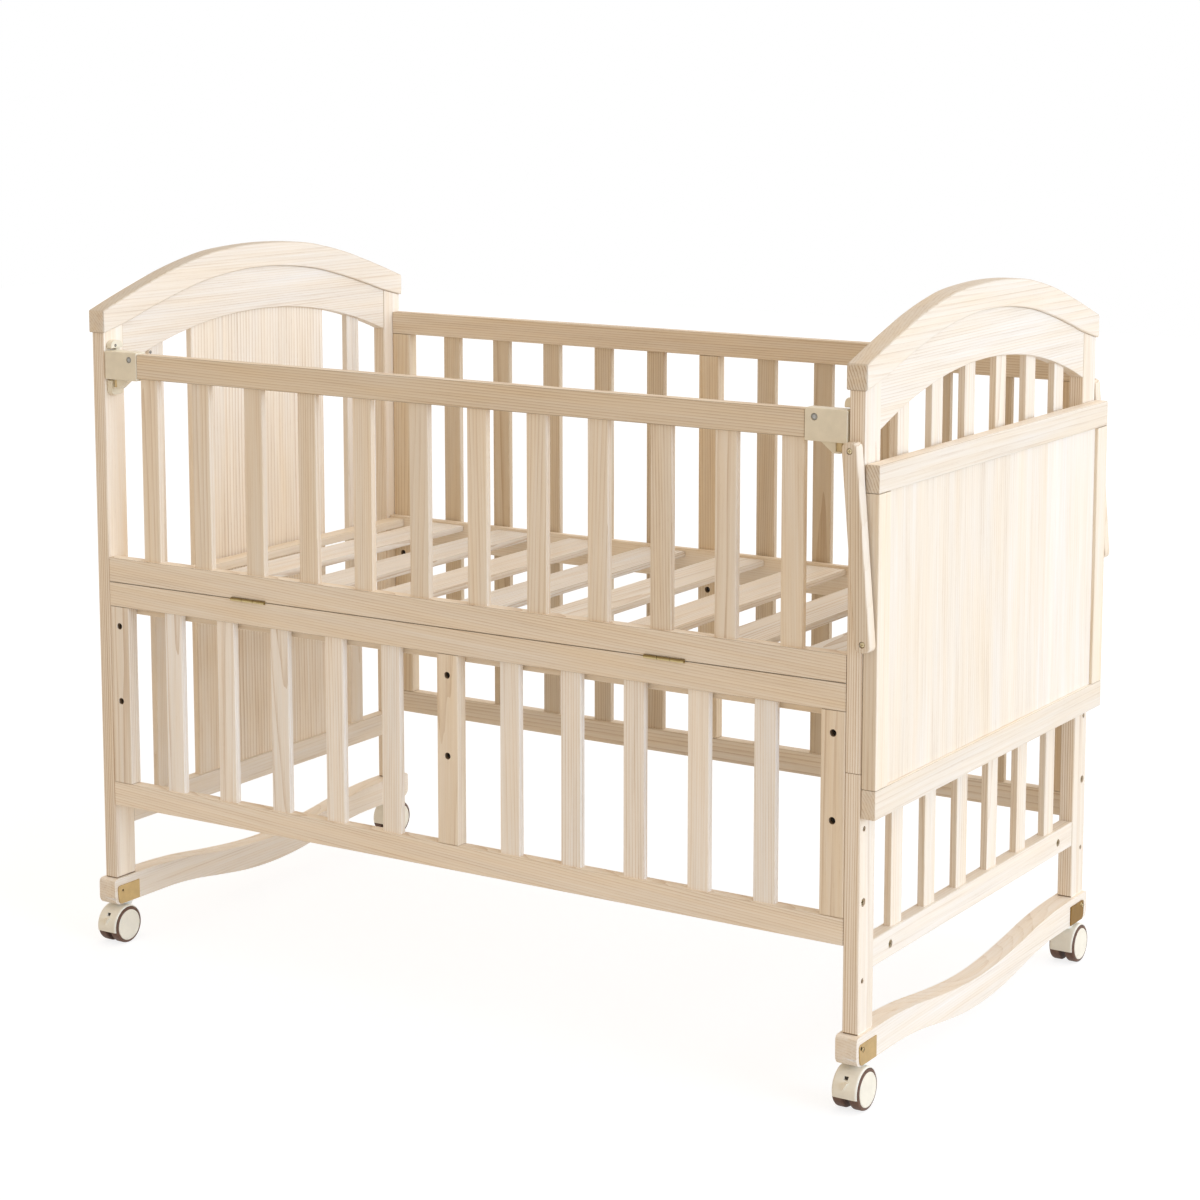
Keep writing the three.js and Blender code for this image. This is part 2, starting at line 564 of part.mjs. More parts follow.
// Casters: hood with web, collar and stem, and a wheel pair on its axle
for (const [tag, xc, s] of [['left_front', xlc, -1], ['left_back', xlc, 1],
  ['right_front', xrc, -1], ['right_back', xrc, 1]]) {
  const yStem = s < 0 ? yF + stemFront : yB - stemBack;
  const yAxle = yStem + s * trail;
  const pts = [];
  const a0 = Math.asin((hoodCutZ - wheelR) / hoodR);
  for (let i = 0; i <= 20; i++) {
    const a = a0 + (Math.PI - 2 * a0) * i / 20;
    const reach = s * Math.cos(a) > 0 ? hoodR : hoodLead;
    pts.push(new THREE.Vector2(yAxle + reach * Math.cos(a), wheelR + hoodR * Math.sin(a)));
  }
  const shell = alongX(pts, xc - hoodHalf, xc + hoodHalf);
  const pockets = [[-hoodHalf - 1, -webHalf], [webHalf, hoodHalf + 1]].map(([a, b]) =>
    rod('x', wheelR + 0.5, xc + a, xc + b, yAxle, wheelR, 28));
  const bore = rod('x', 2.9, xc - 5, xc + 5, yAxle, wheelR, 16);
  const neck = rod('z', collarR, wheelR + hoodR - 6, plateZ - 1.4, xc, yStem, 20);
  const hub = rod('z', 6.5, wheelR + 4, 46, xc, yStem, 16);
  const stem = rod('z', stemR, 45, stemTopZ, xc, yStem, 18);
  const hood = cut(join([shell, neck, hub]), pockets).add(stem).subtract(bore);
  const tab = block(xc - 6, xc + 6, Math.min(yAxle + s * (hoodR - 3), yAxle + s * (hoodR + 3)),
    Math.max(yAxle + s * (hoodR - 3), yAxle + s * (hoodR + 3)), 24, 28);
  piece(`caster_${tag}_fork`, hood.add(cut(tab, pockets)), plastic());

  const rim = wheelR - 1.4;
  const disc = wheelR - 4;
  const profile = [[0, -wheelHalf], [disc, -wheelHalf], [disc + 0.6, -wheelHalf + 0.6],
    [rim, -wheelHalf + 0.6], [wheelR, -wheelHalf + 3], [wheelR, -webHalf - 2.2], [rim, -webHalf - 0.6],
    [2.5, -webHalf - 0.6], [2.5, webHalf + 0.6], [rim, webHalf + 0.6], [wheelR, webHalf + 2.2],
    [wheelR, wheelHalf - 3], [rim, wheelHalf - 0.6], [disc + 0.6, wheelHalf - 0.6], [disc, wheelHalf],
    [0, wheelHalf]];
  const lathe = new THREE.LatheGeometry(profile.map(([r, a]) => new THREE.Vector2(r, a)), 32);
  lathe.rotateZ(-Math.PI / 2);
  lathe.translate(xc, yAxle, wheelR);
  piece(`caster_${tag}_wheels`, solid(lathe), mat(0x3b2519, 0.7));
}

export default group;
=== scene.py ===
# Convertible wooden crib: planks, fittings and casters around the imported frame.
# Millimetres in the making of each piece, metres once it is a mesh.
import math
import random
import bmesh
import bpy
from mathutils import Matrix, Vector


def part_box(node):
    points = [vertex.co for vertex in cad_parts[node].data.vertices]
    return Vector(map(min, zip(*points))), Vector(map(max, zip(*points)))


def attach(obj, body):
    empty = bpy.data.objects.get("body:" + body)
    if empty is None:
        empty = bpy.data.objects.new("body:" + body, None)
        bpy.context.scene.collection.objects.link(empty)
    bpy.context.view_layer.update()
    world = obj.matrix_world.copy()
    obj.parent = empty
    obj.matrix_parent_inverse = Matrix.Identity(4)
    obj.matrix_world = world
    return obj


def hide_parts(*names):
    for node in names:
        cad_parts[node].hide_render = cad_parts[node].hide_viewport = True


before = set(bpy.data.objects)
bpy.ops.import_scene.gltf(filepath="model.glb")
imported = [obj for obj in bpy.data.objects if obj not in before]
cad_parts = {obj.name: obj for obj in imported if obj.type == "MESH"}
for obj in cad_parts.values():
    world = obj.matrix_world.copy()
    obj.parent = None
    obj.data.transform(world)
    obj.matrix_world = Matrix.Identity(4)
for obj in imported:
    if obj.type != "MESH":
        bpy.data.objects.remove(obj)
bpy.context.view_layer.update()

MM = 0.001
rng = random.Random(11)

# Sizes that the frame's boxes don't give. A place in z is from the floor, in y from the middle.
POST_T = 18.0                     # post, across the end panel and along it
POST_D = 35.0
POST_FOOT = 84.5                  # the post's foot, above the gap on the rocker that holds a block of painted shade
POST_SPLIT = (362.15, 362.45)     # joint through each post of the table end
SLAT_W = 26.0
SLAT_T = 8.4
UPRIGHT_FOOT = 174.0              # foot of the slats and of the board in the end panels
LEFT_SLAT_Y = 197.8
END_PITCH = 80.3                  # six slats of the table end
END_RAIL_Z = (147.5, 177.5)
RAIL_T = 16.2
RAIL_H = 29.5
LOW_RAIL_Z = (177.0, 206.5)       # bottom rails of the long frames
SLAT_SETBACK = 3.9                # slats behind the front of their rail
STILE_W = 28.4
HOLE_R = 4.0
HOLE_Z = (402.0, 309.0)
BOLT_R = 4.6
BOLTS = ((140.0, 2.9), (224.6, 4.6), (303.0, 2.9))    # height and radius of the post bolts
BOLT_INSET = 9.8                  # from the post's outer face
END_BOLT_Y = 221.0
END_BOLT_Z = 161.5
SEAM = 455.9                      # hinge line between the gate and the front top rail
HINGE_OFF = 285.0                 # hinges, from the middle of the front
HINGE_HALF = 25.3
GATE_PITCH = 79.15
BASE_PITCH = 116.8
BASE_HALF = 31.2                  # half the width of a base slat
BASE_Z = (443.9, 451.9)
LATCH_L = 49.8
LUGS = ((683.9, 701.5, False), (740.0, 749.3, True))  # catch lugs, the upper one rounded at its top
LUG_T = 8.0
PIVOT_OUT = 17.0                  # the arm's lower pivot, from the middle of the posts
PIVOT_LOW = 502.3
PIVOT_UP = 698.8
PIVOT_R = 3.3
PIVOT_DEEP = 14.3
TABLE_FACE = 297.0                # outer faces of the table's stiles
ARM_Y = 299.9
ARM_T = 14.4
ROCKER_T = 25.0
ROCKER_Z = (50.4, 83.2)
ROCKER_OVER = (8.0, 4.6)          # past the front and back of the posts
STEM_IN = (24.8, 30.0)            # caster stems, from the front and back of the frame
PLATE_T = 1.4
WHEEL_R = 22.4
HOOD_R = 24.5
HOOD_BACK = 23.9
HOOD_HALF = 15.2
TRAIL = 12.0                      # axle, from the stem

# Outlines as (y, z), and wheel profiles as (radius, distance from the caster's middle)
CAP_TOP = [(0, 847.98), (77, 844.8), (126, 837.3), (175, 825.9), (221.5, 811.8), (266, 797.2),
           (299.4, 785.4)]
CAP_LOW = [(0, 817.5), (46, 815.9), (109, 808.2), (166.4, 795.2), (224.6, 778.9), (254.8, 769.4),
           (299.4, 758.4)]
ARC_R = 723.0
ARC_TOP = 763.6
ROCKER_TOP = [(0, 63.5), (52, 65.7), (110, 71.6), (165, 78.7), (210, 82.2), (244, 83.2)]
ROCKER_LOW = [(0, 30.7), (52, 33), (105, 39.8), (150, 46.4), (190, 49.8), (226, 50.4)]
TREAD_LINE = [(2.6, 3.8), (20.6, 3.8), (21.7, 4.4), (22.4, 5.6), (22.4, 13.4), (22.0, 14.7),
              (21.2, 15.6), (20.4, 16.0), (19.3, 15.9), (19.0, 14.5), (2.6, 14.5)]
DISC_LINE = [(0.2, 14.7), (18.8, 14.7), (18.9, 15.8), (18.4, 16.3), (17.6, 16.45), (16.8, 16.35),
             (16.2, 16.2), (9.0, 16.35), (3.0, 16.4), (0.2, 16.4)]
COLLAR_LINE = [(7.6, 44.0), (7.6, 46.2), (8.9, 47.2), (8.9, 49.4), (8.3, 50.0)]

# The camera, solved on a picture of 1200 by 1200
FRAME_PX = 1200.0
FOCAL_PX = 2811.92
CAMERA_AT = (1.79502, -2.80466, 1.11713)
CAMERA_DOWN = 0.1417
CAMERA_TURN = 0.5669


def box(node):
    """A node's lowest and highest corners in millimetres."""
    lo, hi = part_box(node)
    return [v / MM for v in lo], [v / MM for v in hi]


# Materials

class Shade:
    """The nodes of a material or of the world, with short ways to add to them."""

    def __init__(self, name, kind=bpy.data.materials):
        self.mat = kind.new(name)
        self.mat.use_nodes = True
        self.tree = self.mat.node_tree
        self.tree.nodes.clear()

    def add(self, kind, ins=None, **props):
        n = self.tree.nodes.new(kind)
        for k, v in props.items():
            setattr(n, k, v)
        for k, v in (ins or {}).items():
            if isinstance(v, bpy.types.NodeSocket):
                self.tree.links.new(v, n.inputs[k])
            else:
                n.inputs[k].default_value = v
        return n

    def math(self, op, a, b=0.0, c=0.0):
        return self.add("ShaderNodeMath", {0: a, 1: b, 2: c}, operation=op).outputs[0]

    def scaled(self, vec, x, y, z):
        return self.add("ShaderNodeVectorMath", {0: vec, 1: (x, y, z)}, operation="MULTIPLY").outputs[0]

    def noise(self, vec, scale, detail=2.0, rough=0.5):
        return self.add("ShaderNodeTexNoise", {"Vector": vec, "Scale": scale, "Detail": detail,
                                               "Roughness": rough}).outputs["Fac"]

    def ramp(self, fac, stops):
        n = self.add("ShaderNodeValToRGB", {0: fac})
        el = n.color_ramp.elements
        while len(el) < len(stops):
            el.new(0.5)
        for e, (pos, col) in zip(el, stops):
            e.position = pos
            e.color = (*col, 1.0)
        return n.outputs[0]

    def unlit(self):
        """1 for the rays that see the white background directly, in gloss or through glass."""
        path = self.add("ShaderNodeLightPath").outputs
        return self.math("MAXIMUM", path["Is Camera Ray"],
                         self.math("MAXIMUM", path["Is Glossy Ray"], path["Is Transmission Ray"]))

    def bump(self, height, strength, distance):
        return self.add("ShaderNodeBump", {"Height": height, "Strength": strength,
                                           "Distance": distance}).outputs[0]

    def surface(self, **ins):
        n = self.add("ShaderNodeBsdfPrincipled", {k.replace("_", " "): v for k, v in ins.items()})
        self.add("ShaderNodeOutputMaterial", {"Surface": n.outputs[0]})
        return self.mat


def wood_material():
    """Pale pine: growth rings, fibres, streaks, pores and a drift in hue, from each face's attributes."""
    s = Shade("wood_lacquered")
    grain = s.add("ShaderNodeAttribute", attribute_name="grain").outputs["Vector"]
    # The tone attribute's lightness carries the painted light and shade that Stock.add sets per face.
    tone = s.add("ShaderNodeAttribute", attribute_name="tone").outputs["Vector"]
    parts = s.add("ShaderNodeSeparateXYZ", {0: tone}).outputs    # lightness, figure, warmth
    # Growth rings round the heart line, pulled about along the fibre
    rings = s.add("ShaderNodeTexWave", {
        "Vector": s.scaled(grain, 0.06, 1.0, 1.0), "Scale": 98.0, "Distortion": 4.5, "Detail": 2.0,
        "Detail Scale": 0.45, "Detail Roughness": 0.6}, wave_type="RINGS", rings_direction="X",
        wave_profile="SAW").outputs["Fac"]
    late = s.math("POWER", rings, 3.0)
    fibre = s.noise(s.scaled(grain, 9.0, 520.0, 520.0), 1.0, 3.0, 0.62)
    streak = s.noise(s.scaled(grain, 3.0, 150.0, 150.0), 1.0, 2.0, 0.5)
    broad = s.noise(s.scaled(grain, 2.0, 30.0, 30.0), 1.0, 2.0, 0.5)
    fleck = s.noise(s.scaled(grain, 90.0, 1500.0, 1500.0), 1.0, 1.0, 0.5)
    pore = s.math("LESS_THAN", fleck, 0.33)
    figure = s.math("MULTIPLY", late, s.math("MULTIPLY", parts[1], 0.50))
    fac = s.math("MULTIPLY_ADD", fibre, 0.75, figure)
    fac = s.math("MULTIPLY_ADD", streak, 0.55, fac)
    fac = s.math("MULTIPLY_ADD", broad, 0.45, s.math("ADD", fac, -0.60))
    fac = s.math("MULTIPLY_ADD", pore, 0.10, fac)
    base = s.ramp(fac, [(0.02, (0.900, 0.832, 0.740)), (0.42, (0.838, 0.748, 0.630)),
                        (1.00, (0.590, 0.448, 0.315))])
    lit = s.add("ShaderNodeVectorMath", {0: base, 3: s.math("ADD", parts[0], 1.0)},
                operation="SCALE").outputs[0]
    blush = s.noise(s.scaled(grain, 5.0, 60.0, 60.0), 1.0, 2.0, 0.5)
    drift = s.math("ADD", parts[2], s.math("MULTIPLY_ADD", blush, 5.0, -2.5))
    warm = s.add("ShaderNodeCombineXYZ", {
        0: s.math("MULTIPLY_ADD", drift, 0.010, 1.0), 1: s.math("MULTIPLY_ADD", drift, -0.012, 1.0),
        2: s.math("MULTIPLY_ADD", drift, -0.050, 1.0)}).outputs[0]
    colour = s.add("ShaderNodeVectorMath", {0: lit, 1: warm}, operation="MULTIPLY").outputs[0]
    rough = s.math("MULTIPLY_ADD", fibre, 0.20, 0.42)
    height = s.math("MULTIPLY_ADD", pore, -0.8, s.math("MULTIPLY_ADD", late, -0.5, fibre))
    return s.surface(Base_Color=colour, Roughness=rough, Specular_IOR_Level=0.32,
                     Normal=s.bump(height, 0.22, 0.00035))


def plastic_material(name, colour, rough):
    """Moulded plastic with faint clouding and a fine skin."""
    s = Shade(name)
    at = s.add("ShaderNodeTexCoord").outputs["Object"]
    cloud = s.noise(at, 60.0, 3.0, 0.6)
    fine = s.noise(at, 2600.0, 2.0, 0.6)
    dark = tuple(c * 0.90 for c in colour)
    base = s.ramp(cloud, [(0.3, dark), (0.7, colour)])
    return s.surface(Base_Color=base, Roughness=s.math("MULTIPLY_ADD", cloud, 0.12, rough - 0.06),
                     Specular_IOR_Level=0.45, Normal=s.bump(fine, 0.12, 0.00006))


def metal_material(name, colour, rough):
    """Brushed metal with darker stains."""
    s = Shade(name)
    at = s.add("ShaderNodeTexCoord").outputs["Object"]
    brushed = s.noise(s.scaled(at, 900.0, 900.0, 60.0), 1.0, 3.0, 0.65)
    stain = s.noise(at, 90.0, 3.0, 0.6)
    base = s.ramp(stain, [(0.30, tuple(c * 0.86 for c in colour)), (0.70, colour)])
    dull = s.math("MULTIPLY_ADD", brushed, 0.22, rough - 0.1)
    return s.surface(Base_Color=base, Metallic=0.92, Roughness=dull, Normal=s.bump(brushed, 0.2, 0.00008))


def hinge_material():
    """Brass, darker on the side of the knuckles that faces up as painted shade, with stains in patches.
    """
    s = Shade("hinge_brass")
    at = s.add("ShaderNodeTexCoord").outputs
    up = s.add("ShaderNodeSeparateXYZ", {0: at["Normal"]}).outputs[2]
    stain = s.noise(at["Object"], 120.0, 3.0, 0.6)
    base = s.ramp(s.math("MULTIPLY_ADD", stain, 0.3, s.math("MULTIPLY_ADD", up, 0.5, 0.3)),
                  [(0.25, (0.660, 0.560, 0.300)), (0.50, (0.330, 0.225, 0.080)),
                   (0.80, (0.200, 0.130, 0.045))])
    return s.surface(Base_Color=base, Metallic=0.85, Roughness=s.math("MULTIPLY_ADD", stain, 0.2, 0.32))


def tread_material():
    """Dark rubber with dust in patches."""
    s = Shade("wheel_tread")
    at = s.add("ShaderNodeTexCoord").outputs["Object"]
    dust = s.noise(at, 170.0, 4.0, 0.65)
    fine = s.noise(at, 1900.0, 2.0, 0.6)
    base = s.ramp(dust, [(0.35, (0.115, 0.058, 0.038)), (0.75, (0.185, 0.105, 0.072))])
    return s.surface(Base_Color=base, Roughness=s.math("MULTIPLY_ADD", dust, 0.25, 0.45),
                     Specular_IOR_Level=0.4, Normal=s.bump(fine, 0.3, 0.0001))


WOOD = wood_material()
LATCH = plastic_material("latch_plastic", (0.855, 0.805, 0.665), 0.42)
CREAM = plastic_material("catch_plastic", (0.840, 0.785, 0.640), 0.36)
HOOD = plastic_material("caster_plastic", (0.945, 0.935, 0.855), 0.36)
DISC = plastic_material("caster_disc", (0.895, 0.850, 0.725), 0.30)
# Painted shade: a near black set inside holes, the caster slots and the screw recesses.
SHADE_BLACK = plastic_material("painted_shade_black", (0.030, 0.022, 0.014), 0.6)
# Painted shade: a brown for the walls of holes and for the gap under the posts.
SHADE_BROWN = plastic_material("painted_shade_brown", (0.250, 0.180, 0.115), 0.7)
BRASS = metal_material("brass", (0.580, 0.405, 0.185), 0.40)
HINGE = hinge_material()
ANTIQUE = metal_material("brass_antique", (0.270, 0.140, 0.012), 0.36)
BRONZE = metal_material("bolt_bronze", (0.400, 0.310, 0.165), 0.45)
PALE = metal_material("screw_pale", (0.760, 0.640, 0.400), 0.36)
STEEL = metal_material("screw_steel", (0.205, 0.183, 0.158), 0.42)
RING = metal_material("screw_ring", (0.330, 0.310, 0.270), 0.46)
AMBER = plastic_material("lever_amber", (0.800, 0.660, 0.390), 0.40)
SILVER = metal_material("screw_silver", (0.560, 0.545, 0.520), 0.40)
GOLD = metal_material("screw_gold", (0.950, 0.740, 0.380), 0.32)
TREAD = tread_material()


# Solids

def bevel(bm, edges, r, seg):
    """Rounds the edges by r, in seg steps."""
    edges = list(edges)
    if edges and r > 0:
        bmesh.ops.bevel(bm, geom=edges, offset=r, offset_type="OFFSET", segments=seg, profile=0.5,
                        affect="EDGES", clamp_overlap=True)
    bm.normal_update()


def span(e):
    """The edge as a vector."""
    return e.verts[1].co - e.verts[0].co


def across(a, b):
    """Two places along an axis, the lower one first."""
    return min(a, b), max(a, b)


def block(lo, hi, axis="z", r=1.2, rend=0.35, seg=3):
    """A plank: long edges rounded by r, end edges barely broken."""
    bm = bmesh.new()
    bmesh.ops.create_cube(bm, size=1.0)
    for v in bm.verts:
        v.co = Vector([lo[i] + (v.co[i] + 0.5) * (hi[i] - lo[i]) for i in range(3)])
    i = "xyz".index(axis)
    bm.normal_update()
    bevel(bm, [e for e in bm.edges if abs(span(e)[i]) > 1e-6], r, seg)
    ends = [e for e in bm.edges if any(abs(f.normal[i]) > 0.99 for f in e.link_faces)]
    bevel(bm, ends, rend, 1 if rend < 1 else 2)
    return bm


def prism(points, a, b, along="x"):
    """An outline in the plane across one axis, pushed along it from a to b."""
    bm = bmesh.new()
    put = {"x": lambda p, t: (t, p[0], p[1]), "y": lambda p, t: (p[0], t, p[1]),
           "z": lambda p, t: (p[0], p[1], t)}[along]
    rows = [[bm.verts.new(put(p, t)) for p in points] for t in (a, b)]
    bm.faces.new(rows[0])
    bm.faces.new(rows[1])
    n = len(points)
    for i in range(n):
        j = (i + 1) % n
        bm.faces.new((rows[0][i], rows[0][j], rows[1][j], rows[1][i]))
    bmesh.ops.recalc_face_normals(bm, faces=bm.faces[:])
    bm.normal_update()
    return bm


def sharp(bm, degrees=35):
    """The edges where two faces meet at more than the given angle."""
    limit = math.radians(degrees)
    return [e for e in bm.edges if len(e.link_faces) == 2 and e.calc_face_angle(0) > limit]


def rod(axis, r, a, b, p, q, n=32, chamfer=0.0):
    """A turned piece along an axis; p and q are its place on the other two, in order."""
    profile = [(r, a), (r, b)]
    if chamfer:
        profile = [(r - chamfer, a), (r, a + chamfer), (r, b - chamfer), (r - chamfer, b)]
    return lathe(axis, profile, p, q, n)


def lathe(axis, profile, p, q, n=48):
    """Points (radius, place along the axis) turned round; a closed solid."""
    bm = bmesh.new()
    put = {"x": lambda u, v, t: (t, p + u, q + v), "y": lambda u, v, t: (p + u, t, q + v),
           "z": lambda u, v, t: (p + u, q + v, t)}[axis]
    rings = []
    for r, t in profile:
        turns = [2 * math.pi * k / n for k in range(n)]
        rings.append([bm.verts.new(put(r * math.cos(a), r * math.sin(a), t)) for a in turns])
    for low, high in zip(rings, rings[1:]):
        for k in range(n):
            m = (k + 1) % n
            bm.faces.new((low[k], low[m], high[m], high[k]))
    bm.faces.new(rings[0])
    bm.faces.new(rings[-1])
    bmesh.ops.recalc_face_normals(bm, faces=bm.faces[:])
    bm.normal_update()
    return bm


def temp(bm, name):
    """An object for one boolean step."""
    mesh = bpy.data.meshes.new(name)
    bm.to_mesh(mesh)
    bm.free()
    obj = bpy.data.objects.new(name, mesh)
    bpy.context.scene.collection.objects.link(obj)
    return obj


def boolean(bm, tools, operation="DIFFERENCE"):
    """The solid less each tool, or joined to them."""
    base = temp(bm, "work")
    others = [temp(t, "tool") for t in tools]
    for t in others:
        mod = base.modifiers.new("cut", "BOOLEAN")
        mod.operation = operation
        mod.solver = "EXACT"
        mod.object = t
    deps = bpy.context.evaluated_depsgraph_get()
    mesh = bpy.data.meshes.new_from_object(base.evaluated_get(deps))
    out = bmesh.new()
    out.from_mesh(mesh)
    bpy.data.meshes.remove(mesh)
    for obj in [base, *others]:
        old = obj.data
        bpy.data.objects.remove(obj)
        bpy.data.meshes.remove(old)
    out.normal_update()
    return out


def drill(bm, holes):
    return boolean(bm, holes) if holes else bm


def fibre(axis, centre, near=(28, 80), tilt=0.018, turn=None, wide=1.0, lean=None):
    """Grain coordinates of one plank: along the fibre, then across from the heart line.

    The heart line lies at a distance within near, on the side given by turn, and leans by up to tilt
    or by lean. wide stretches the figure.
    """
    i = "xyz".index(axis)
    j, k = (i + 1) % 3, (i + 2) % 3
    off = rng.uniform(200, 3800)
    spin = rng.uniform(0, 2 * math.pi)
    turn = spin if turn is None else turn
    far = rng.uniform(*near)
    du, dv = far * math.cos(turn), far * math.sin(turn)
    tu, tv = lean or (rng.uniform(-tilt, tilt), rng.uniform(-tilt, tilt))

    def at(p):
        a = p[i] - centre[i]
        u = (p[j] - centre[j] + du + tu * a) / wide
        v = (p[k] - centre[k] + dv + tv * a) / wide
        return ((a + off) * MM, u * MM, v * MM)
    return at


class Stock:
    """Gathers solids into one mesh, each face with its grain, tint and material."""

    def __init__(self):
        self.verts, self.faces, self.grain, self.tone, self.slots = [], [], [], [], []

    def add(self, bm, axis="z", tone=None, slot=0, pick=None, ends=-0.10, bold=1.3, edge=-0.20,
            side=(0, 0, 0), calm=1.0, **how):
        """Adds a solid whose fibre runs along the axis.

        tone is lightness, figure and warmth. ends and bold change them on end grain. edge darkens the
        rounded edges as painted shade, side lightens or darkens the faces that look along each axis as
        painted light and shade, and calm lowers the figure on the +X and -X faces in place of their
        washed-out light.
        """
        first = len(self.verts)
        bm.verts.index_update()
        lo = Vector([min(v.co[i] for v in bm.verts) for i in range(3)])
        hi = Vector([max(v.co[i] for v in bm.verts) for i in range(3)])
        if pick is None:
            one = fibre(axis, (lo + hi) / 2, **how)
            shade = tone or (rng.uniform(-0.035, 0.03), rng.uniform(0.4, 1.2), rng.uniform(-1.0, 1.0))

            def pick(c):
                return one, shade
        self.verts += [tuple(v.co * MM) for v in bm.verts]
        i = "xyz".index(axis)
        for f in bm.faces:
            fn, tint = pick(f.calc_center_median())
            n = f.normal
            thin = min(e.calc_length() for e in f.edges)
            if slot == 0 and abs(n[i]) > 0.9:
                tint = (tint[0] + ends, tint[1] * bold, tint[2] - 6.0 * ends)
            # Painted shade: the narrow bevels at a plank's ends are darkened, and edge darkens the
            # rounded edges that face up (and down, when edge is strong).
            elif slot == 0 and abs(n[i]) > 0.4 and thin < 0.8:
                tint = (tint[0] - 0.30, tint[1], tint[2] + 1.0)
            elif slot == 0 and i < 2 and thin < 1.3 and (0.3 < n.z < 0.94 or edge < -0.3 and n.z < -0.3):
                tint = (tint[0] + edge, tint[1], tint[2] - 4.0 * edge)
            # Painted light and shade: side lightens or darkens each face by the way it faces; calm lowers
            # the figure on the +X and -X faces.
            elif slot == 0:
                lift = sum(d * max(0.0, w) for d, w in zip(side, n))
                tint = (tint[0] + lift, tint[1] * (calm if abs(n.x) > 0.9 else 1.0), tint[2] - 3.0 * lift)
            self.faces.append([first + v.index for v in f.verts])
            self.grain += [fn(v.co) for v in f.verts]
            self.tone += list(tint) * len(f.verts)
            self.slots.append(slot)
        bm.free()
        return self

    def make(self, name, body, nodes=(), slot="wood", mats=None, smooth=38):
        """The piece itself: it rides on the body and stands for the nodes."""
        mesh = bpy.data.meshes.new(name)
        mesh.from_pydata(self.verts, [], self.faces)
        mesh.attributes.new("grain", "FLOAT_VECTOR", "CORNER").data.foreach_set(
            "vector", [c for g in self.grain for c in g])
        mesh.attributes.new("tone", "FLOAT_VECTOR", "CORNER").data.foreach_set("vector", self.tone)
        for m in mats or [WOOD]:
            mesh.materials.append(m)
        mesh.polygons.foreach_set("material_index", self.slots)
        mesh.shade_smooth()
        mesh.set_sharp_from_angle(angle=math.radians(smooth))
        mesh.update()
        obj = bpy.data.objects.new(name, mesh)
        bpy.context.scene.collection.objects.link(obj)
        mod = obj.modifiers.new("normals", "WEIGHTED_NORMAL")
        mod.keep_sharp = True
        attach(obj, body)
        if nodes:
            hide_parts(*nodes)
        return obj


def screw_head(axis, way, r, face, p, q, deep=1.5, cross=True):
    """A low domed head on a face that looks along the axis, with a cross recess."""
    rise = min(0.9, r * 0.25)
    profile = [(r * 0.98, face - way * deep), (r, face - way * 0.2), (r * 0.93, face + way * rise * 0.35),
               (r * 0.72, face + way * rise * 0.75), (r * 0.40, face + way * rise * 0.96),
               (r * 0.05, face + way * rise)]
    bm = lathe(axis, profile, p, q, 28)
    if not cross:
        return bm
    i = "xyz".index(axis)
    j, k = [n for n in range(3) if n != i]
    tools = []
    for u, v in ((0.62, 0.13), (0.13, 0.62)):
        lo, hi = [0.0] * 3, [0.0] * 3
        ends = sorted((face - way * r * 0.32, face + way * 2.0))
        lo[i], hi[i] = ends
        lo[j], hi[j] = p - r * u, p + r * u
        lo[k], hi[k] = q - r * v, q + r * v
        tools.append(block(lo, hi, r=0, rend=0))
    return boolean(bm, [boolean(tools[0], [tools[1]], "UNION")])


# Outlines of the arched pieces

def spline(pts, n):
    """A smooth curve through the points, in n steps."""
    out = []
    last = len(pts) - 1
    for s in range(n + 1):
        t = last * s / n
        k = min(int(t), last)
        w = t - k
        p = [Vector(pts[max(0, min(last, k + d))]) for d in (-1, 0, 1, 2)]
        va, vb = (p[2] - p[0]) / 2, (p[3] - p[1]) / 2
        out.append((2 * p[1] - 2 * p[2] + va + vb) * w ** 3 + (3 * p[2] - 3 * p[1] - 2 * va - vb) * w * w
                   + va * w + p[1])
    return out


def mirrored(pts, n=40):
    """A curve given from the middle outwards, made whole."""
    half = [p for p in spline([(-pts[1][0], pts[1][1]), *pts], n) if p.x > 1e-3]
    half = [Vector(pts[0]), *half]
    return [(-p.x, p.y) for p in reversed(half[1:])] + [(p.x, p.y) for p in half]


TOP_LINE = mirrored(CAP_TOP)
LOW_LINE = mirrored(CAP_LOW)
ARC_LINE = [(y, ARC_TOP - ARC_R + math.sqrt(ARC_R ** 2 - y * y)) for y in range(-288, 289, 12)]


def height_on(line, y):
    """The line's z at y."""
    for (ya, za), (yb, zb) in zip(line, line[1:]):
        if y <= yb + 1e-9:
            return za + (zb - za) * (y - ya) / (yb - ya)
    return line[-1][1]


def stretch(line, y0, y1, dz=0.0):
    """The line from y0 to y1, raised by dz."""
    inner = [p for p in line if y0 + 1 < p[0] < y1 - 1]
    return [(y, z + dz) for y, z in [(y0, height_on(line, y0)), *inner, (y1, height_on(line, y1))]]


# End panels

XL = box("left_post_front")[0][0] + POST_T / 2
XR = box("right_post_front_upper")[1][0] - POST_T / 2
YF = box("left_post_front")[0][1]
YB = -YF
RAIL_Y = box("left_apron")[1][1]


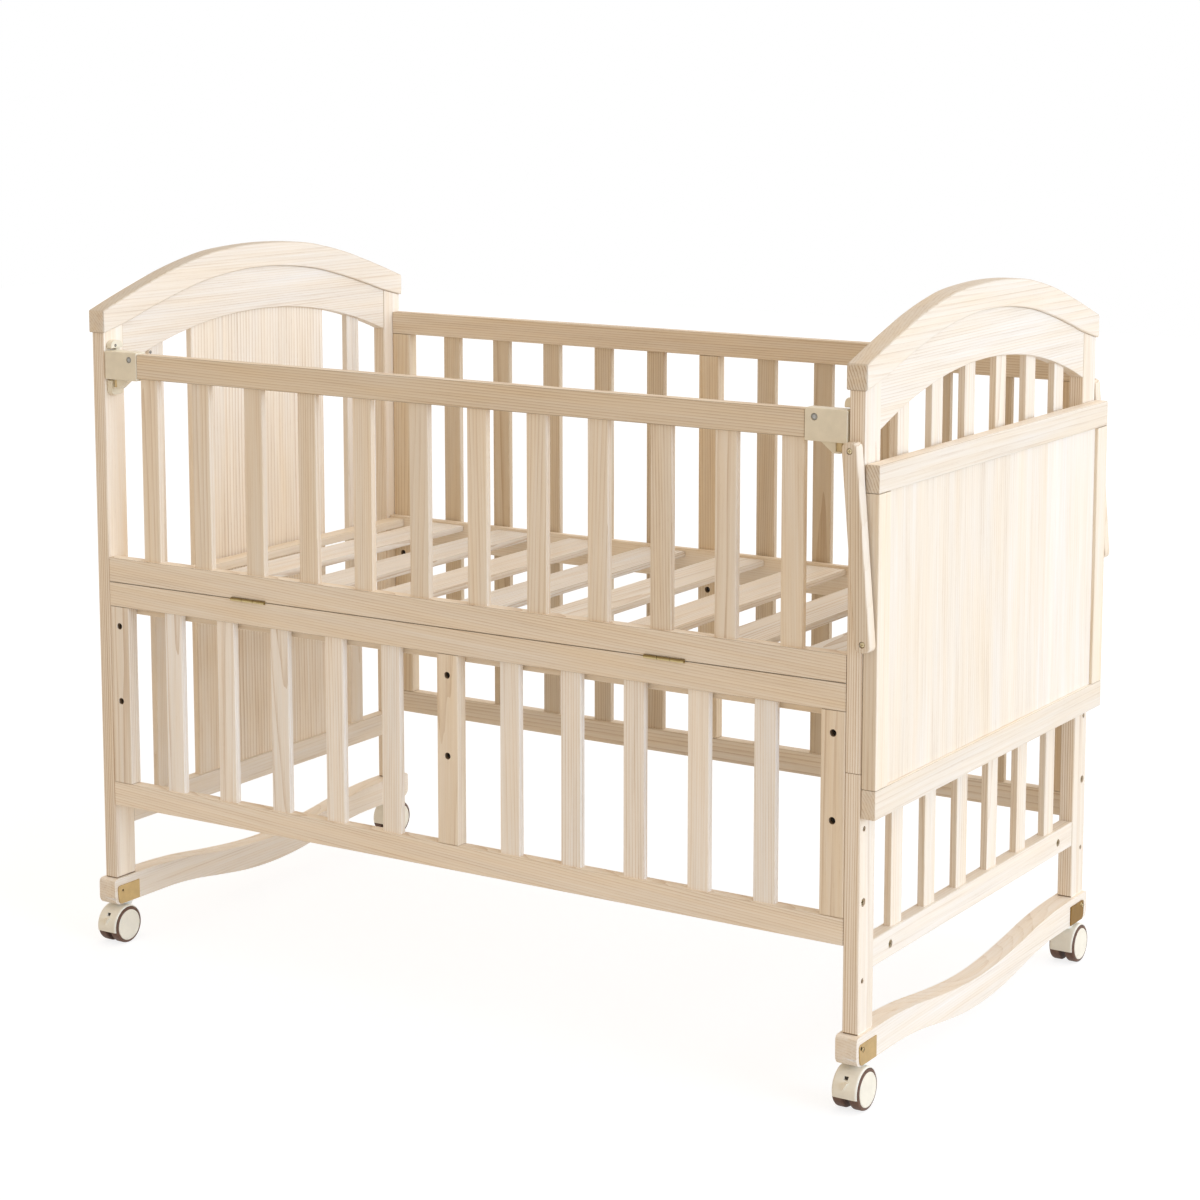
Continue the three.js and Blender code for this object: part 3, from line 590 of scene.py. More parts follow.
def post(name, xc, y0, z0, z1=None, holes=()):
    """A post, or a length of one; without z1 it ends under the cap."""
    y1 = y0 + POST_D
    if z1 is None:
        outline = [(y0, z0), (y1, z0), *reversed(stretch(LOW_LINE, y0, y1, -0.3))]
    else:
        outline = [(y0, z0), (y1, z0), (y1, z1), (y0, z1)]
    bm = prism(outline, xc - POST_T / 2, xc + POST_T / 2)
    bevel(bm, [e for e in sharp(bm) if abs(span(e).z) > 20], 1.5, 3)
    bevel(bm, [e for e in sharp(bm, 60) if abs(span(e).z) < 12], 0.4, 1)
    bm = drill(bm, list(holes))
    # Painted light and shade: side lightens the +X faces of the left posts and darkens those of the right
    # posts, and calm lowers their figure there.
    tone, side = ((0.08, 1.8, -0.4), (-0.055, 0, 0)) if xc > 0 else ((0.0, 1.8, 0.3), (0.10, 0, 0))
    stock = Stock().add(bm, "z", tone, side=side, calm=0.35, near=(70, 120), tilt=0.004,
                        turn=rng.uniform(-0.12, 0.12), wide=0.85)
    if z0 < 100:
        # A dark block in the gap between the foot of the post and the rocker: painted shade
        joint = block((xc - 8.2, y0 + 0.8, z0 - 1.2), (xc + 8.2, y1 - 0.8, z0 + 0.5), r=0, rend=0)
        stock.add(joint, slot=1)
        if xc > 0:
            shim = block((xc + 8.1, y0 + 1.6, z0 - 1.25), (xc + 8.9, y1 - 1.6, z0 + 0.6), r=0, rend=0)
            stock.add(shim, "z", (0.08, 0.5, -0.4))
    stock.make(f"{name}_wood", "frame", [name], mats=[WOOD, SHADE_BROWN])


def cap(side, xc):
    """The arched piece on top of an end panel."""
    bm = prism([*TOP_LINE, *reversed(LOW_LINE)], xc - 12.0, xc + 12.0)
    bevel(bm, sharp(bm, 40), 1.9, 4)
    # Painted shade: side darkens the faces of the caps that look up, the left cap more.
    top, bold, turn = (-0.28, 1.3, 0.7) if xc < 0 else (-0.14, 3.5, 1.1)
    Stock().add(bm, "y", (0.0, 0.6, 0.0), ends=-0.12, bold=bold, side=(0, 0, top), near=(160, 220),
                turn=turn, lean=(0.006, 0.002)).make(f"{side}_cap_wood", "frame", [f"{side}_cap"])


def apron(side, xc):
    """The board under the cap, with an arc below."""
    outline = [*stretch(LOW_LINE, -RAIL_Y, RAIL_Y, -0.3), *reversed(stretch(ARC_LINE, -RAIL_Y, RAIL_Y))]
    bm = prism(outline, xc - RAIL_T / 2, xc + RAIL_T / 2)
    low = [e for e in sharp(bm, 40) if abs(span(e).x) < 1e-6
           and all(abs(v.co.z - height_on(ARC_LINE, v.co.y)) < 0.6 for v in e.verts)]
    bevel(bm, low, 1.2, 3)
    Stock().add(bm, "y", (0.01, 0.7, -0.8), near=(160, 220), tilt=0.004, turn=0.45, wide=0.9).make(
        f"{side}_apron_wood", "frame", [f"{side}_apron"])


def upright(xc, y0, y1, r=1.0):
    """A slat or the board between the bottom rail and the apron of an end panel."""
    outline = [(y0, UPRIGHT_FOOT), (y1, UPRIGHT_FOOT), *reversed(stretch(ARC_LINE, y0, y1, 3.0))]
    bm = prism(outline, xc - SLAT_T / 2, xc + SLAT_T / 2)
    bevel(bm, [e for e in sharp(bm) if abs(span(e).z) > 20], r, 3)
    return bm


post("left_post_front", XL, YF, POST_FOOT)
post("left_post_back", XL, YB - POST_D, POST_FOOT)
cap("left", XL)
cap("right", XR)
apron("left", XL)
apron("right", XR)

lo, hi = box("left_rail")
Stock().add(block(lo, hi, "y"), "y").make("left_rail_wood", "frame", ["left_rail"])


def glued(cuts, centre, tones, turns, wide):
    """Grain of a board glued up from upright planks: a picker by the face's place across."""
    parts = [(fibre("z", centre, (150, 260), 0.004, turn, wide), t) for t, turn in zip(tones, turns)]

    def pick(c):
        return parts[sum(1 for y in cuts if c.y > y)]
    return pick


def slice_at(bm, cuts):
    """Cuts the faces at the glue lines, without parting the solid."""
    for y in cuts:
        bmesh.ops.bisect_plane(bm, geom=bm.verts[:] + bm.edges[:] + bm.faces[:],
                               plane_co=Vector((0, y, 0)), plane_no=Vector((0, 1, 0)))
    return bm


# Lightness, figure and warmth of the glued planks
BOARD_TONES = ((0.035, 0.95, 0.2), (0.055, 1.15, -0.1), (0.045, 0.95, 0.3), (0.065, 1.05, 0.1))
TABLE_TONES = ((-0.01, 0.22, 0.2), (-0.015, 0.5, 0.0), (0.0, 0.36, 0.0), (0.03, 0.10, -0.8))
lo, hi = box("left_board")
cuts = [-71, 4, 66]
bm = slice_at(upright(XL, lo[1], hi[1], 1.2), cuts)
Stock().add(bm, pick=glued(cuts, (XL, 0, 450), BOARD_TONES, (1.57, 1.45, 1.7, 1.57), 1.8)).make(
    "left_board_wood", "frame", ["left_board"])
for side, yc in (("front", -LEFT_SLAT_Y), ("back", LEFT_SLAT_Y)):
    bm = upright(XL, yc - SLAT_W / 2, yc + SLAT_W / 2)
    stock = Stock().add(bm, "z")
    if side == "front":
        stock.add(screw_head("x", 1, 2.1, XL + SLAT_T / 2 - 0.1, yc - 10.5, 727.0, 1.0), "x", slot=1)
    stock.make(f"left_slat_{side}_wood", "frame", [f"left_slat_{side}"], mats=[WOOD, STEEL])

# Table end: posts in two lengths with bolts, a rail and six slats
for side, s in (("front", -1), ("back", 1)):
    y0 = YF if s < 0 else YB - POST_D
    face = YF if s < 0 else YB
    yb = face - s * BOLT_INSET
    bores = [rod("x", r, XR + 5.0, XR + 10.0, yb, z) for z, r in BOLTS]
    post(f"right_post_{side}_lower", XR, y0, POST_FOOT, POST_SPLIT[0], bores)
    stock = Stock()
    for z, r in BOLTS:
        stock.add(screw_head("x", 1, r * 0.86, XR + 7.0, yb, z, 2.5), "x")
    stock.make(f"right_post_{side}_bolts", "frame", mats=[BRONZE], slot="brass")
    bore = rod("y", PIVOT_R, *across(face + s, face - s * PIVOT_DEEP), XR, PIVOT_UP)
    post(f"right_post_{side}_upper", XR, y0, POST_SPLIT[1], None, [bore])

stock = Stock()
face = XR + RAIL_T / 2
rail = block((XR - RAIL_T / 2, -RAIL_Y, END_RAIL_Z[0]), (face, RAIL_Y, END_RAIL_Z[1]), "y")
rail = drill(rail, [rod("x", BOLT_R, face - 3, face + 1, s * END_BOLT_Y, END_BOLT_Z) for s in (-1, 1)])
stock.add(rail, "y", (0.02, 0.4, -0.6))
for s in (-1, 1):
    head = screw_head("x", 1, BOLT_R * 0.86, face - 1.6, s * END_BOLT_Y, END_BOLT_Z, 1.4)
    stock.add(head, "x", slot=1)
for i in range(6):
    yc = (i - 2.5) * END_PITCH
    tone = (rng.uniform(-0.03, 0.0), rng.uniform(0.7, 1.2), rng.uniform(0.0, 0.6))
    bm = upright(XR, yc - SLAT_W / 2, yc + SLAT_W / 2)
    # Painted light: side lightens the +X faces of the slats, and calm lowers their figure there.
    stock.add(bm, "z", tone, side=(0.03, 0, 0), calm=0.6)
stock.make("right_rail_slats_wood", "frame", ["right_rail_slats"], mats=[WOOD, BRONZE])


# Rockers

def rounded_turn(p, q, r, n=5):
    """Quarter turn from p to q round their corner r."""
    out = []
    for i in range(n + 1):
        t = i / n
        out.append(tuple((1 - t) ** 2 * p[k] + 2 * t * (1 - t) * r[k] + t * t * q[k] for k in range(2)))
    return out


def rocker(side, xc):
    """A wavy runner with square-cut ends and a bore for each caster stem."""
    y0, y1 = YF - ROCKER_OVER[0], YB + ROCKER_OVER[1]
    low_z, top_z = ROCKER_Z
    outline = [*mirrored(ROCKER_LOW),
               *rounded_turn((y1 - 12, low_z), (y1, low_z + 12), (y1, low_z), 8),
               *rounded_turn((y1, top_z - 6), (y1 - 6, top_z), (y1, top_z)),
               *reversed(mirrored(ROCKER_TOP)),
               *rounded_turn((y0 + 6, top_z), (y0, top_z - 6), (y0, top_z)),
               *rounded_turn((y0, low_z + 12), (y0 + 12, low_z), (y0, low_z), 8)]
    bm = prism(outline, xc - ROCKER_T / 2, xc + ROCKER_T / 2)
    corners = [e for e in sharp(bm, 50) if abs(span(e).z) > 3 and abs(span(e).y) < 0.1
               and abs(span(e).x) < 0.1]
    bevel(bm, corners, 5.0, 5)
    bevel(bm, sharp(bm, 50), 2.4, 4)
    stems = (YF + STEM_IN[0], YB - STEM_IN[1])
    bm = drill(bm, [rod("z", 4.3, 40.0, 72.5, xc, y) for y in stems])
    # Painted light: side lightens the rocker faces that look up.
    stock = Stock().add(bm, "y", (0.015, 0.5, -0.7), ends=0.0, side=(0, 0, 0.12), near=(60, 100),
                        tilt=0.01, turn=0.2)
    stock.make(f"rocker_{side}_wood", "frame", [f"rocker_{side}"])


rocker("left", XL)
rocker("right", XR)


# Long frames

X0, X1 = box("front_top_rail")[0][0], box("front_top_rail")[1][0]
XM = (X0 + X1) / 2
STILE_X = [X0, XM - STILE_W / 2, X1 - STILE_W]
HINGE_X = (XM - HINGE_OFF, XM + HINGE_OFF)


def bay_slats():
    """Left edges of the five slats in each bay between the stiles."""
    xs = []
    for a, b in zip(STILE_X, STILE_X[1:]):
        gap = (b - a - STILE_W - 5 * SLAT_W) / 6
        xs += [a + STILE_W + gap + i * (SLAT_W + gap) for i in range(5)]
    return xs


def slats(stock, xs, y0, z0, z1, light, warm, figure):
    """Slats with their left edges at xs, each a little different."""
    for x in xs:
        tone = (light + rng.uniform(-0.03, 0.03), figure * rng.uniform(0.5, 1.5),
                warm + rng.uniform(-0.6, 0.6))
        stock.add(block((x, y0, z0), (x + SLAT_W, y0 + SLAT_T, z1), "z", 1.0), "z", tone)


def stile(stock, x, y0, y1, z0, z1, tone=None):
    """A stile with its bored holes, lined with painted shade: brown near each mouth, near black deeper
    in.
    """
    bm = block((x, y0, z0), (x + STILE_W, y1, z1), "z")
    xc = x + STILE_W / 2
    stock.add(drill(bm, [rod("y", HOLE_R, y0 - 1, y1 + 1, xc, z) for z in HOLE_Z]), "z", tone)
    for z in HOLE_Z:
        # Painted shade in each hole: a black tube deep inside and a brown liner at each mouth.
        for a, b, r, slot in ((y0 + 5.0, y1 - 5.0, 2.4, 1), (y0 + 0.9, y0 + 5.1, HOLE_R - 0.3, 2),
                              (y1 - 5.1, y1 - 0.9, HOLE_R - 0.3, 2)):
            sleeve = rod("y", HOLE_R + 0.02, a, b, xc, z)
            stock.add(drill(sleeve, [rod("y", r, y0, y1, xc, z, 24)]), "y", slot=slot)
    return stock


def recess(xc, z0, z1):
    """Room in a rail for a hinge leaf and for the knuckle in front of it."""
    a, b = xc - HINGE_HALF, xc + HINGE_HALF
    leaf = block((a, YF - 1, z0), (b, YF + 12.0, z1), r=0, rend=0)
    knuckle = block((a, YF - 1, SEAM - 2.5), (b, YF + 0.9, SEAM + 2.5), r=0, rend=0)
    return [leaf, knuckle]


LOW_Z, LOW_TOP = LOW_RAIL_Z
lo, hi = box("front_top_rail")
bm = block(lo, hi, "x", 0.7)
bm = drill(bm, [t for x in HINGE_X for t in recess(x, hi[2] - 1.15, hi[2] + 1)])
# Painted shade: edge darkens its rounded edges that face up and down.
Stock().add(bm, "x", (0.01, 0.9, 0.5), edge=-0.65, near=(60, 90), turn=1.45, lean=(0.0, 0.045)).make(
    "front_top_rail_wood", "frame", ["front_top_rail"])
front = Stock().add(block((X0, YF, LOW_Z), (X1, YF + RAIL_T, LOW_TOP), "x"), "x", (0.08, 0.9, 0.2),
                    near=(60, 90), turn=1.45, lean=(0.0, 0.06))
slats(front, bay_slats(), YF + SLAT_SETBACK, LOW_TOP - 4, lo[2] + 3, 0.14, -2.6, 0.75)
front.make("front_rail_slats_wood", "frame", ["front_rail_slats"])
for side, x in zip(("left", "centre", "right"), STILE_X):
    name = f"front_stile_{side}"
    stile(Stock(), x, YF, YF + RAIL_T, box(name)[0][2], box(name)[1][2]).make(
        f"{name}_wood", "frame", [name], mats=[WOOD, SHADE_BLACK, SHADE_BROWN])
# Painted shade: the back top rail, bottom rail, slats and stiles are toned darker and warmer than the
# front.
lo, hi = box("back_top_rail")
stock = Stock().add(block(lo, hi, "x", 1.5), "x", (-0.10, 1.2, 1.6), near=(60, 90), turn=1.45,
                    lean=(0, 0.008))
stock.make("back_top_rail_wood", "frame", ["back_top_rail"])
back = Stock().add(block((X0, YB - RAIL_T, LOW_Z), (X1, YB, LOW_TOP), "x"), "x", (-0.06, 1.0, 0.6))
slats(back, bay_slats(), YB - 12.3, LOW_TOP - 4, lo[2] + 3, -0.24, 2.6, 0.9)
for x in STILE_X:
    stile(back, x, YB - RAIL_T, YB, LOW_TOP + 0.3, lo[2] - 0.2, (-0.13, 0.9, 3.0))
back.make("back_rail_slats_wood", "frame", ["back_rail_slats"], mats=[WOOD, SHADE_BLACK, SHADE_BROWN])


# Mattress base

lo, hi = box("base_rail_back")
Stock().add(block(lo, hi, "x"), "x").make("base_rail_back_wood", "frame", ["base_rail_back"])
BY0 = box("base_rail_slats")[0][1]
base = Stock().add(block((lo[0], BY0, lo[2]), (hi[0], BY0 + 10.5, hi[2]), "x"), "x")
for i in range(8):
    xc = XM + (i - 3.5) * BASE_PITCH
    tone = (rng.uniform(0.02, 0.07), rng.uniform(0.8, 1.4), rng.uniform(-3.6, -2.0))
    bm = block((xc - BASE_HALF, BY0 + 6.5, BASE_Z[0]), (xc + BASE_HALF, lo[1] - 0.3, BASE_Z[1]), "y", 1.8)
    base.add(bm, "y", tone)
base.make("base_rail_slats_wood", "frame", ["base_rail_slats"])
for side in ("left", "right"):
    lo, hi = box(f"base_end_{side}")
    Stock().add(block(lo, hi, "y"), "y").make(f"base_end_{side}_wood", "frame", [f"base_end_{side}"])


# Gate

lo, hi = box("gate_top_rail")
x0 = box("latch_housing_left")[0][0] + LATCH_L
x1 = box("latch_housing_right")[1][0] - LATCH_L
# Painted shade: edge darkens its rounded edges that face up and down.
stock = Stock().add(block((x0, YF, lo[2]), (x1, YF + RAIL_T, hi[2]), "x", 1.5), "x", (-0.10, 1.2, 1.9),
                    edge=-0.40, near=(50, 90), turn=1.4, lean=(0.0, 0.02))
stock.make("gate_top_rail_wood", "gate", ["gate_top_rail"])
z0 = box("gate_rail_slats")[0][2]
bm = block((X0, YF, z0), (X1, YF + RAIL_T, z0 + RAIL_H), "x", 0.7)
bm = drill(bm, [t for x in HINGE_X for t in recess(x, z0 - 1, z0 + 1.15)])
# Painted shade: edge darkens its rounded edges that face up and down.
gate = Stock().add(bm, "x", (0.015, 1.0, 0.3), edge=-0.65, near=(60, 90), turn=1.45, lean=(0.0, 0.055))
slats(gate, [XM + (i - 5.5) * GATE_PITCH - SLAT_W / 2 for i in range(12)], YF + SLAT_SETBACK,
      z0 + RAIL_H - 4, lo[2] + 3, -0.005, 0.4, 0.70)
gate.make("gate_rail_slats_wood", "gate", ["gate_rail_slats"])


# Table

for part in ("table_rail_bottom", "table_rail_top"):
    lo, hi = box(part)
    end, bold = (-0.09, 2.0) if part == "table_rail_top" else (-0.01, 1.1)
    # Painted light: side lightens the faces that look up, and calm lowers the figure on the +X and -X
    # faces.
    stock = Stock().add(block(lo, hi, "y", 1.3, 1.0), "y", (-0.05, 0.8, 0.1), ends=end, bold=bold,
                        side=(0, 0, 0.15), calm=0.7, near=(160, 220), turn=1.1, lean=(0.0, 0.002))
    stock.make(f"{part}_wood", "table_panel", [part])
for side, s in (("front", -1), ("back", 1)):
    lo, hi = box(f"table_stile_{side}")
    face = s * TABLE_FACE
    bore = rod("y", PIVOT_R, *across(face + s, face - s * PIVOT_DEEP), XR + PIVOT_OUT, PIVOT_LOW)
    tone = (rng.uniform(-0.10, -0.08), rng.uniform(0.7, 0.9), rng.uniform(1.3, 1.5))
    # Painted light: side lightens the +X faces and a little the +Y faces, and calm lowers the figure on
    # the +X and -X faces.
    stock = Stock().add(drill(block(lo, hi, "z", 1.3), [bore]), "z", tone, side=(0.11, 0.05, 0), calm=0.4)
    stock.make(f"table_stile_{side}_wood", "table_panel", [f"table_stile_{side}"])
lo, hi = box("table_board")
cuts = [-160, 30, 132]
bm = block((lo[0], lo[1] - 0.3, lo[2] - 0.3), (hi[0], hi[1] + 0.3, hi[2] + 0.3), "y", 0, 0)
bm = slice_at(bm, cuts)
centre = (box("table_rail_top")[0][0], 0, 500)
Stock().add(bm, pick=glued(cuts, centre, TABLE_TONES, (0.2, 1.57, 1.5, 0.1), 1.6)).make(
    "table_board_wood", "table_panel", ["table_board"])


def arm_outline(up, low):
    """A bar from pivot to pivot in x and z, with its four corners rounded by 6."""
    d = (low - up).normalized()
    c = Vector((-d.y, d.x))
    outline = []
    for end, way in ((low, 1), (up, -1)):
        for turn_side in (1, -1):
            for i in range(7):
                turn = math.radians(15 * (i if turn_side < 0 else 6 - i))
                u, v = 2.8 + 6.0 * math.cos(turn), 2.8 + 6.0 * math.sin(turn)
                p = end + way * (d * u + c * turn_side * v)
                outline.append((p.x, p.y))
    return outline


for side, s in (("front", -1), ("back", 1)):
    up, low = Vector((XR, PIVOT_UP)), Vector((XR + PIVOT_OUT, PIVOT_LOW))
    inner = s * ARM_Y
    outer = inner + s * ARM_T
    bm = prism(arm_outline(up, low), *across(inner, outer), "y")
    bevel(bm, sharp(bm, 50), 1.6, 3)
    pins = [rod("y", 3.0, *across(inner + s, s * 283), p.x, p.y) for p in (up, low)]
    bores = [rod("y", 3.5, *across(outer - s * 2.4, outer + s), p.x, p.y) for p in (up, low)]
    # Painted light: side lightens the +X faces of the arm, and calm lowers the figure on the +X and -X
    # faces.
    stock = Stock().add(drill(bm, bores), "z", (-0.08, 1.4, 1.2), side=(0.06, 0, 0), calm=0.3,
                        near=(60, 100), turn=0.1)
    for p in pins:
        stock.add(p, "y", slot=1)
    for p in (up, low):
        stock.add(screw_head("y", s, 2.7, outer - s * 1.2, p.x, p.y, 1.9), "y", slot=2)
    stock.make(f"table_arm_{side}_wood", "table_arms", [f"table_arm_{side}"], mats=[WOOD, BRONZE, PALE])


# Brass plates on the rocker ends

def plate(side, xc, end, s):
    """A plate let onto the +X face of a rocker's end, with its screws."""
    px = xc + ROCKER_T / 2 + 0.05
    lo, hi = box(f"foot_plate_{side}_{end}")
    z0, z1 = lo[2], hi[2]
    outer = lo[1] if s < 0 else hi[1]
    inner = hi[1] if s < 0 else lo[1]

    def y(v):
        return outer - s * v
    outline = [(inner, z0), (y(6.5), z0),
               *rounded_turn((y(6.0), z0), (y(0.8), z0 + 7.0), (y(1.4), z0 + 0.8), 6),
               *rounded_turn((y(0.0), z1 - 5.0), (y(4.5), z1), (y(0.0), z1), 6), (inner, z1)]
    bm = prism(outline, px, px + PLATE_T)
    bevel(bm, [e for e in sharp(bm, 60) if all(v.co.x > px + 1 for v in e.verts)], 0.35, 2)
    # An open screw hole by the outer corner and a screw beside it, or two screws at the back
    spots = [(y(3.4), z1 - 4.0, 2.3), (y(8.0), z1 - 6.6, 2.7)]
    if s > 0:
        spots = [(y(7.4), z1 - 4.0, 2.7), (y(3.0), z1 - 6.8, 2.7)]
    if side == "left" and s < 0:
        spots = [(y(8.0), z1 - 6.6, 1.5)]
    stock = Stock().add(drill(bm, [rod("x", r, px - 1, px + 2, a, b, 20) for a, b, r in spots]), "y")
    # Painted shade: a black disc at the bottom of each hole, showing as a dark ring round each head, and
    # black bars across each head for the cross recess.
    for k, (a, b, r) in enumerate(spots):
        stock.add(rod("x", r - 0.03, px + 0.02, px + 0.3, a, b, 20), "x", slot=2)
        if k or s > 0:
            stock.add(screw_head("x", 1, r - 0.75, px + 1.2, a, b, 1.1, False), "x", slot=1)
            for u, v in ((0.75, 0.17), (0.17, 0.75)):
                du, dv = u * (r - 0.7), v * (r - 0.7)
                bar = block((px + 1.5, a - du, b - dv), (px + 1.72, a + du, b + dv), r=0, rend=0)
                stock.add(bar, slot=2)
    stock.make(f"foot_plate_{side}_{end}_brass", "frame", [f"foot_plate_{side}_{end}"], "brass",
               [BRASS if s < 0 else ANTIQUE, GOLD, SHADE_BLACK])


for side, xc in (("left", XL), ("right", XR)):
    plate(side, xc, "front", -1)
    plate(side, xc, "back", 1)


# Hinges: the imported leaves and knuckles, with screws let into the leaves

for side, xc in zip(("left", "right"), HINGE_X):
    for half, way, body in (("upper", -1, "gate"), ("lower", 1, "frame")):
        stock = Stock()
        for dx in (-17.0, 0.0, 17.0):
            stock.add(screw_head("z", way, 2.1, SEAM - way * 0.42, xc + dx, YF + 6.6, 0.7), "z")
        stock.make(f"hinge_{side}_{half}_screws", body, mats=[BRASS], slot="brass")


# Latches

def housing(side, s):
    """A latch housing with its lever slot, the tenon's mortise and a screw in a counterbore."""
    lo, hi = box(f"latch_housing_{side}")
    llo, lhi = box(f"latch_lever_{side}")
    slot = block((llo[0] - 0.4, llo[1] - 0.4, lo[2] - 1), (lhi[0] + 0.4, lhi[1] + 0.4, lo[2] + 12),
                 r=0, rend=0)
    inner = lo[0] if s > 0 else hi[0]
    x0, x1 = across(inner - s, inner + s * 15.6)
    tenon = block((x0, YF + 2.0, lo[2] + 5.3), (x1, YF + 14.2, hi[2] - 4.5), r=0, rend=0)
    xs, zs = inner + s * 11.4, hi[2] - 9.0
    counterbore = rod("y", 3.9, lo[1] - 1, lo[1] + 1.4, xs, zs)
    stock = Stock().add(drill(block(lo, hi, "x", 1.3, 1.3), [slot, tenon, counterbore]), "x")
    stock.add(screw_head("y", -1, 3.6, lo[1] + 0.8, xs, zs, 1.2, False), "y", slot=1)
    stock.add(screw_head("y", -1, 1.7, lo[1] + 0.15, xs, zs, 1.0), "y", slot=2)
    stock.make(f"latch_housing_{side}_shell", "gate", [f"latch_housing_{side}"], "plastic",
               [LATCH, RING, SILVER], 30)


def lever(side, s):
    """The release lever: a slide with a sloping foot, and a tongue in its outer window."""
    low = box(f"latch_housing_{side}")[0][2]
    lo, hi = box(f"latch_lever_{side}")
    outer = hi[0] if s > 0 else lo[0]
    z0, top = lo[2], hi[2]

    def x(v):
        return outer - s * v
    outline = [(x(23.8), top), (x(23.8), low - 0.3), (x(12.5), z0 + 2.2), (x(10.5), z0 + 0.7),
               (x(8.6), z0), (x(1.6), z0), (x(0.4), z0 + 0.5), (x(0.0), z0 + 1.6), (x(0.0), top)]
    bm = prism(outline, lo[1], hi[1], "y")
    bevel(bm, [e for e in sharp(bm, 50) if abs(span(e).y) < 0.1
               and min(v.co.z for v in e.verts) < top - 1], 0.8, 2)
    x0, x1 = across(x(6.4), x(-1))
    window = block((x0, lo[1] - 1, z0 + 2.0), (x1, lo[1] + 6.5, low - 0.4), r=0, rend=0)
    stock = Stock().add(drill(bm, [window]), "z")
    x0, x1 = across(x(6.6), x(0.6))
    tongue = block((x0, lo[1] + 2.2, z0 + 1.8), (x1, lo[1] + 6.6, low - 0.2), "z", 0.4, 0.2)
    stock.add(tongue, "z", slot=1)
    stock.make(f"latch_lever_{side}_slide", f"latch_lever_{side}", [f"latch_lever_{side}"], "plastic",
               [LATCH, AMBER])


def catch(side, s):
    """Two rounded lugs on a web, each screwed to the post."""
    lo, hi = box(f"latch_catch_{side}")
    face = hi[0] if s > 0 else lo[0]
    y0, y1 = lo[1], hi[1]
    stock = Stock()
    for za, zb, up in LUGS:
        end, start = (zb, za) if up else (za, zb)
        turn = 8.0 if up else -6.0
        wide = abs(turn)
        outline = [(y0, start), *rounded_turn((y0, end - turn), (y0 + wide, end), (y0, end)),
                   *rounded_turn((y1 - wide, end), (y1, end - turn), (y1, end)), (y1, start)]
        bm = prism(outline, *across(face, face - s * LUG_T))
        bevel(bm, sharp(bm, 50), 0.9, 3)
        zc = (za + zb) / 2 - (1.4 if up else 0)
        stock.add(bm, "z")
        stock.add(screw_head("x", -s, 1.9, face - s * LUG_T, y0 + 7.5, zc, 1.5), "x", slot=1)
    x0, x1 = across(face, face - s * 3)
    stock.add(block((x0, y1 - 7.0, 698.0), (x1, y1, 742.0), "z", 0.6), "z")
    stock.make(f"latch_catch_{side}_plastic", "frame", [f"latch_catch_{side}"], "plastic", [CREAM, STEEL])


for side, s in (("left", -1), ("right", 1)):
    housing(side, s)
    lever(side, s)
    catch(side, s)


# Casters

def caster(tag, xc, s):
    """A cover over two wheels, with its stem, collar and brake tab; s is the side the wheels trail to."""
    y_stem = YF + STEM_IN[0] if s < 0 else YB - STEM_IN[1]
    y_axle = y_stem + s * TRAIL

    # Cover: round over the wheels towards the trailing side, falling off more steeply past the stem
    a0 = math.asin((17.0 - WHEEL_R) / HOOD_R)
    outline = []
    for i in range(33):
        a = a0 + (math.pi - 2 * a0) * i / 32
        reach = HOOD_R if math.cos(a) > 0 else HOOD_BACK
        outline.append((y_axle + s * reach * math.cos(a), WHEEL_R + HOOD_R * math.sin(a)))
    bm = prism(outline, xc - HOOD_HALF, xc + HOOD_HALF)
    rim = [e for e in sharp(bm, 60) if abs(span(e).x) < 0.1 and max(v.co.z for v in e.verts) > 17.5]
    bevel(bm, rim, 3.4, 5)
    pockets = [rod("x", WHEEL_R + 0.5, xc + a, xc + b, y_axle, WHEEL_R, 64)
               for a, b in ((-17.0, -3.2), (3.2, 17.0))]
    # The slot in the cover, with a black block inside as painted shade
    y0, y1 = across(y_axle + s * 14.0, y_axle + s * 25.0)
    slot = block((xc - 2.5, y0, 35.6), (xc + 2.5, y1, 39.4), r=0, rend=0)
    stock = Stock().add(drill(bm, [*pockets, slot]), "z")
    y0, y1 = across(y_axle + s * 14.0, y_axle + s * 17.4)
    stock.add(block((xc - 2.6, y0, 35.5), (xc + 2.6, y1, 39.5), r=0.2, rend=0.2), "z", slot=3)
    tab = [(xc - 3.6, 33.6), (xc + 4.4, 34.8), (xc - 0.6, 26.0)]
    bm = prism(tab, *across(y_axle + s * 20.4, y_axle + s * 25.6), "y")
    bevel(bm, sharp(bm, 50), 0.5, 2)
    stock.add(bm, "z", slot=1)
    stock.add(lathe("z", COLLAR_LINE, xc, y_stem), "z")
    stock.add(rod("z", 4.0, 49.0, 71.0, xc, y_stem, chamfer=0.6), "z", slot=2)
    stock.make(f"caster_{tag}_cover", f"caster_{tag}", [f"caster_{tag}_fork"], "plastic",
               [HOOD, DISC, STEEL, SHADE_BLACK], 45)

    wheels = Stock()
    for way in (-1, 1):
        for slot, line in enumerate((TREAD_LINE, DISC_LINE)):
            profile = [(r, xc + way * t) for r, t in line]
            wheels.add(lathe("x", profile, y_axle, WHEEL_R, 72), "x", slot=slot)
    wheels.add(rod("x", 2.4, xc - 5.0, xc + 5.0, y_axle, WHEEL_R), "x", slot=2)
    wheels.make(f"caster_{tag}_rollers", f"caster_{tag}_wheels", [f"caster_{tag}_wheels"], "wheel",
                [TREAD, DISC, STEEL], 35)


for side, xc in (("left", XL), ("right", XR)):
    caster(f"{side}_front", xc, -1)
    caster(f"{side}_back", xc, 1)


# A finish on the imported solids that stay: the hinge leaves and knuckles

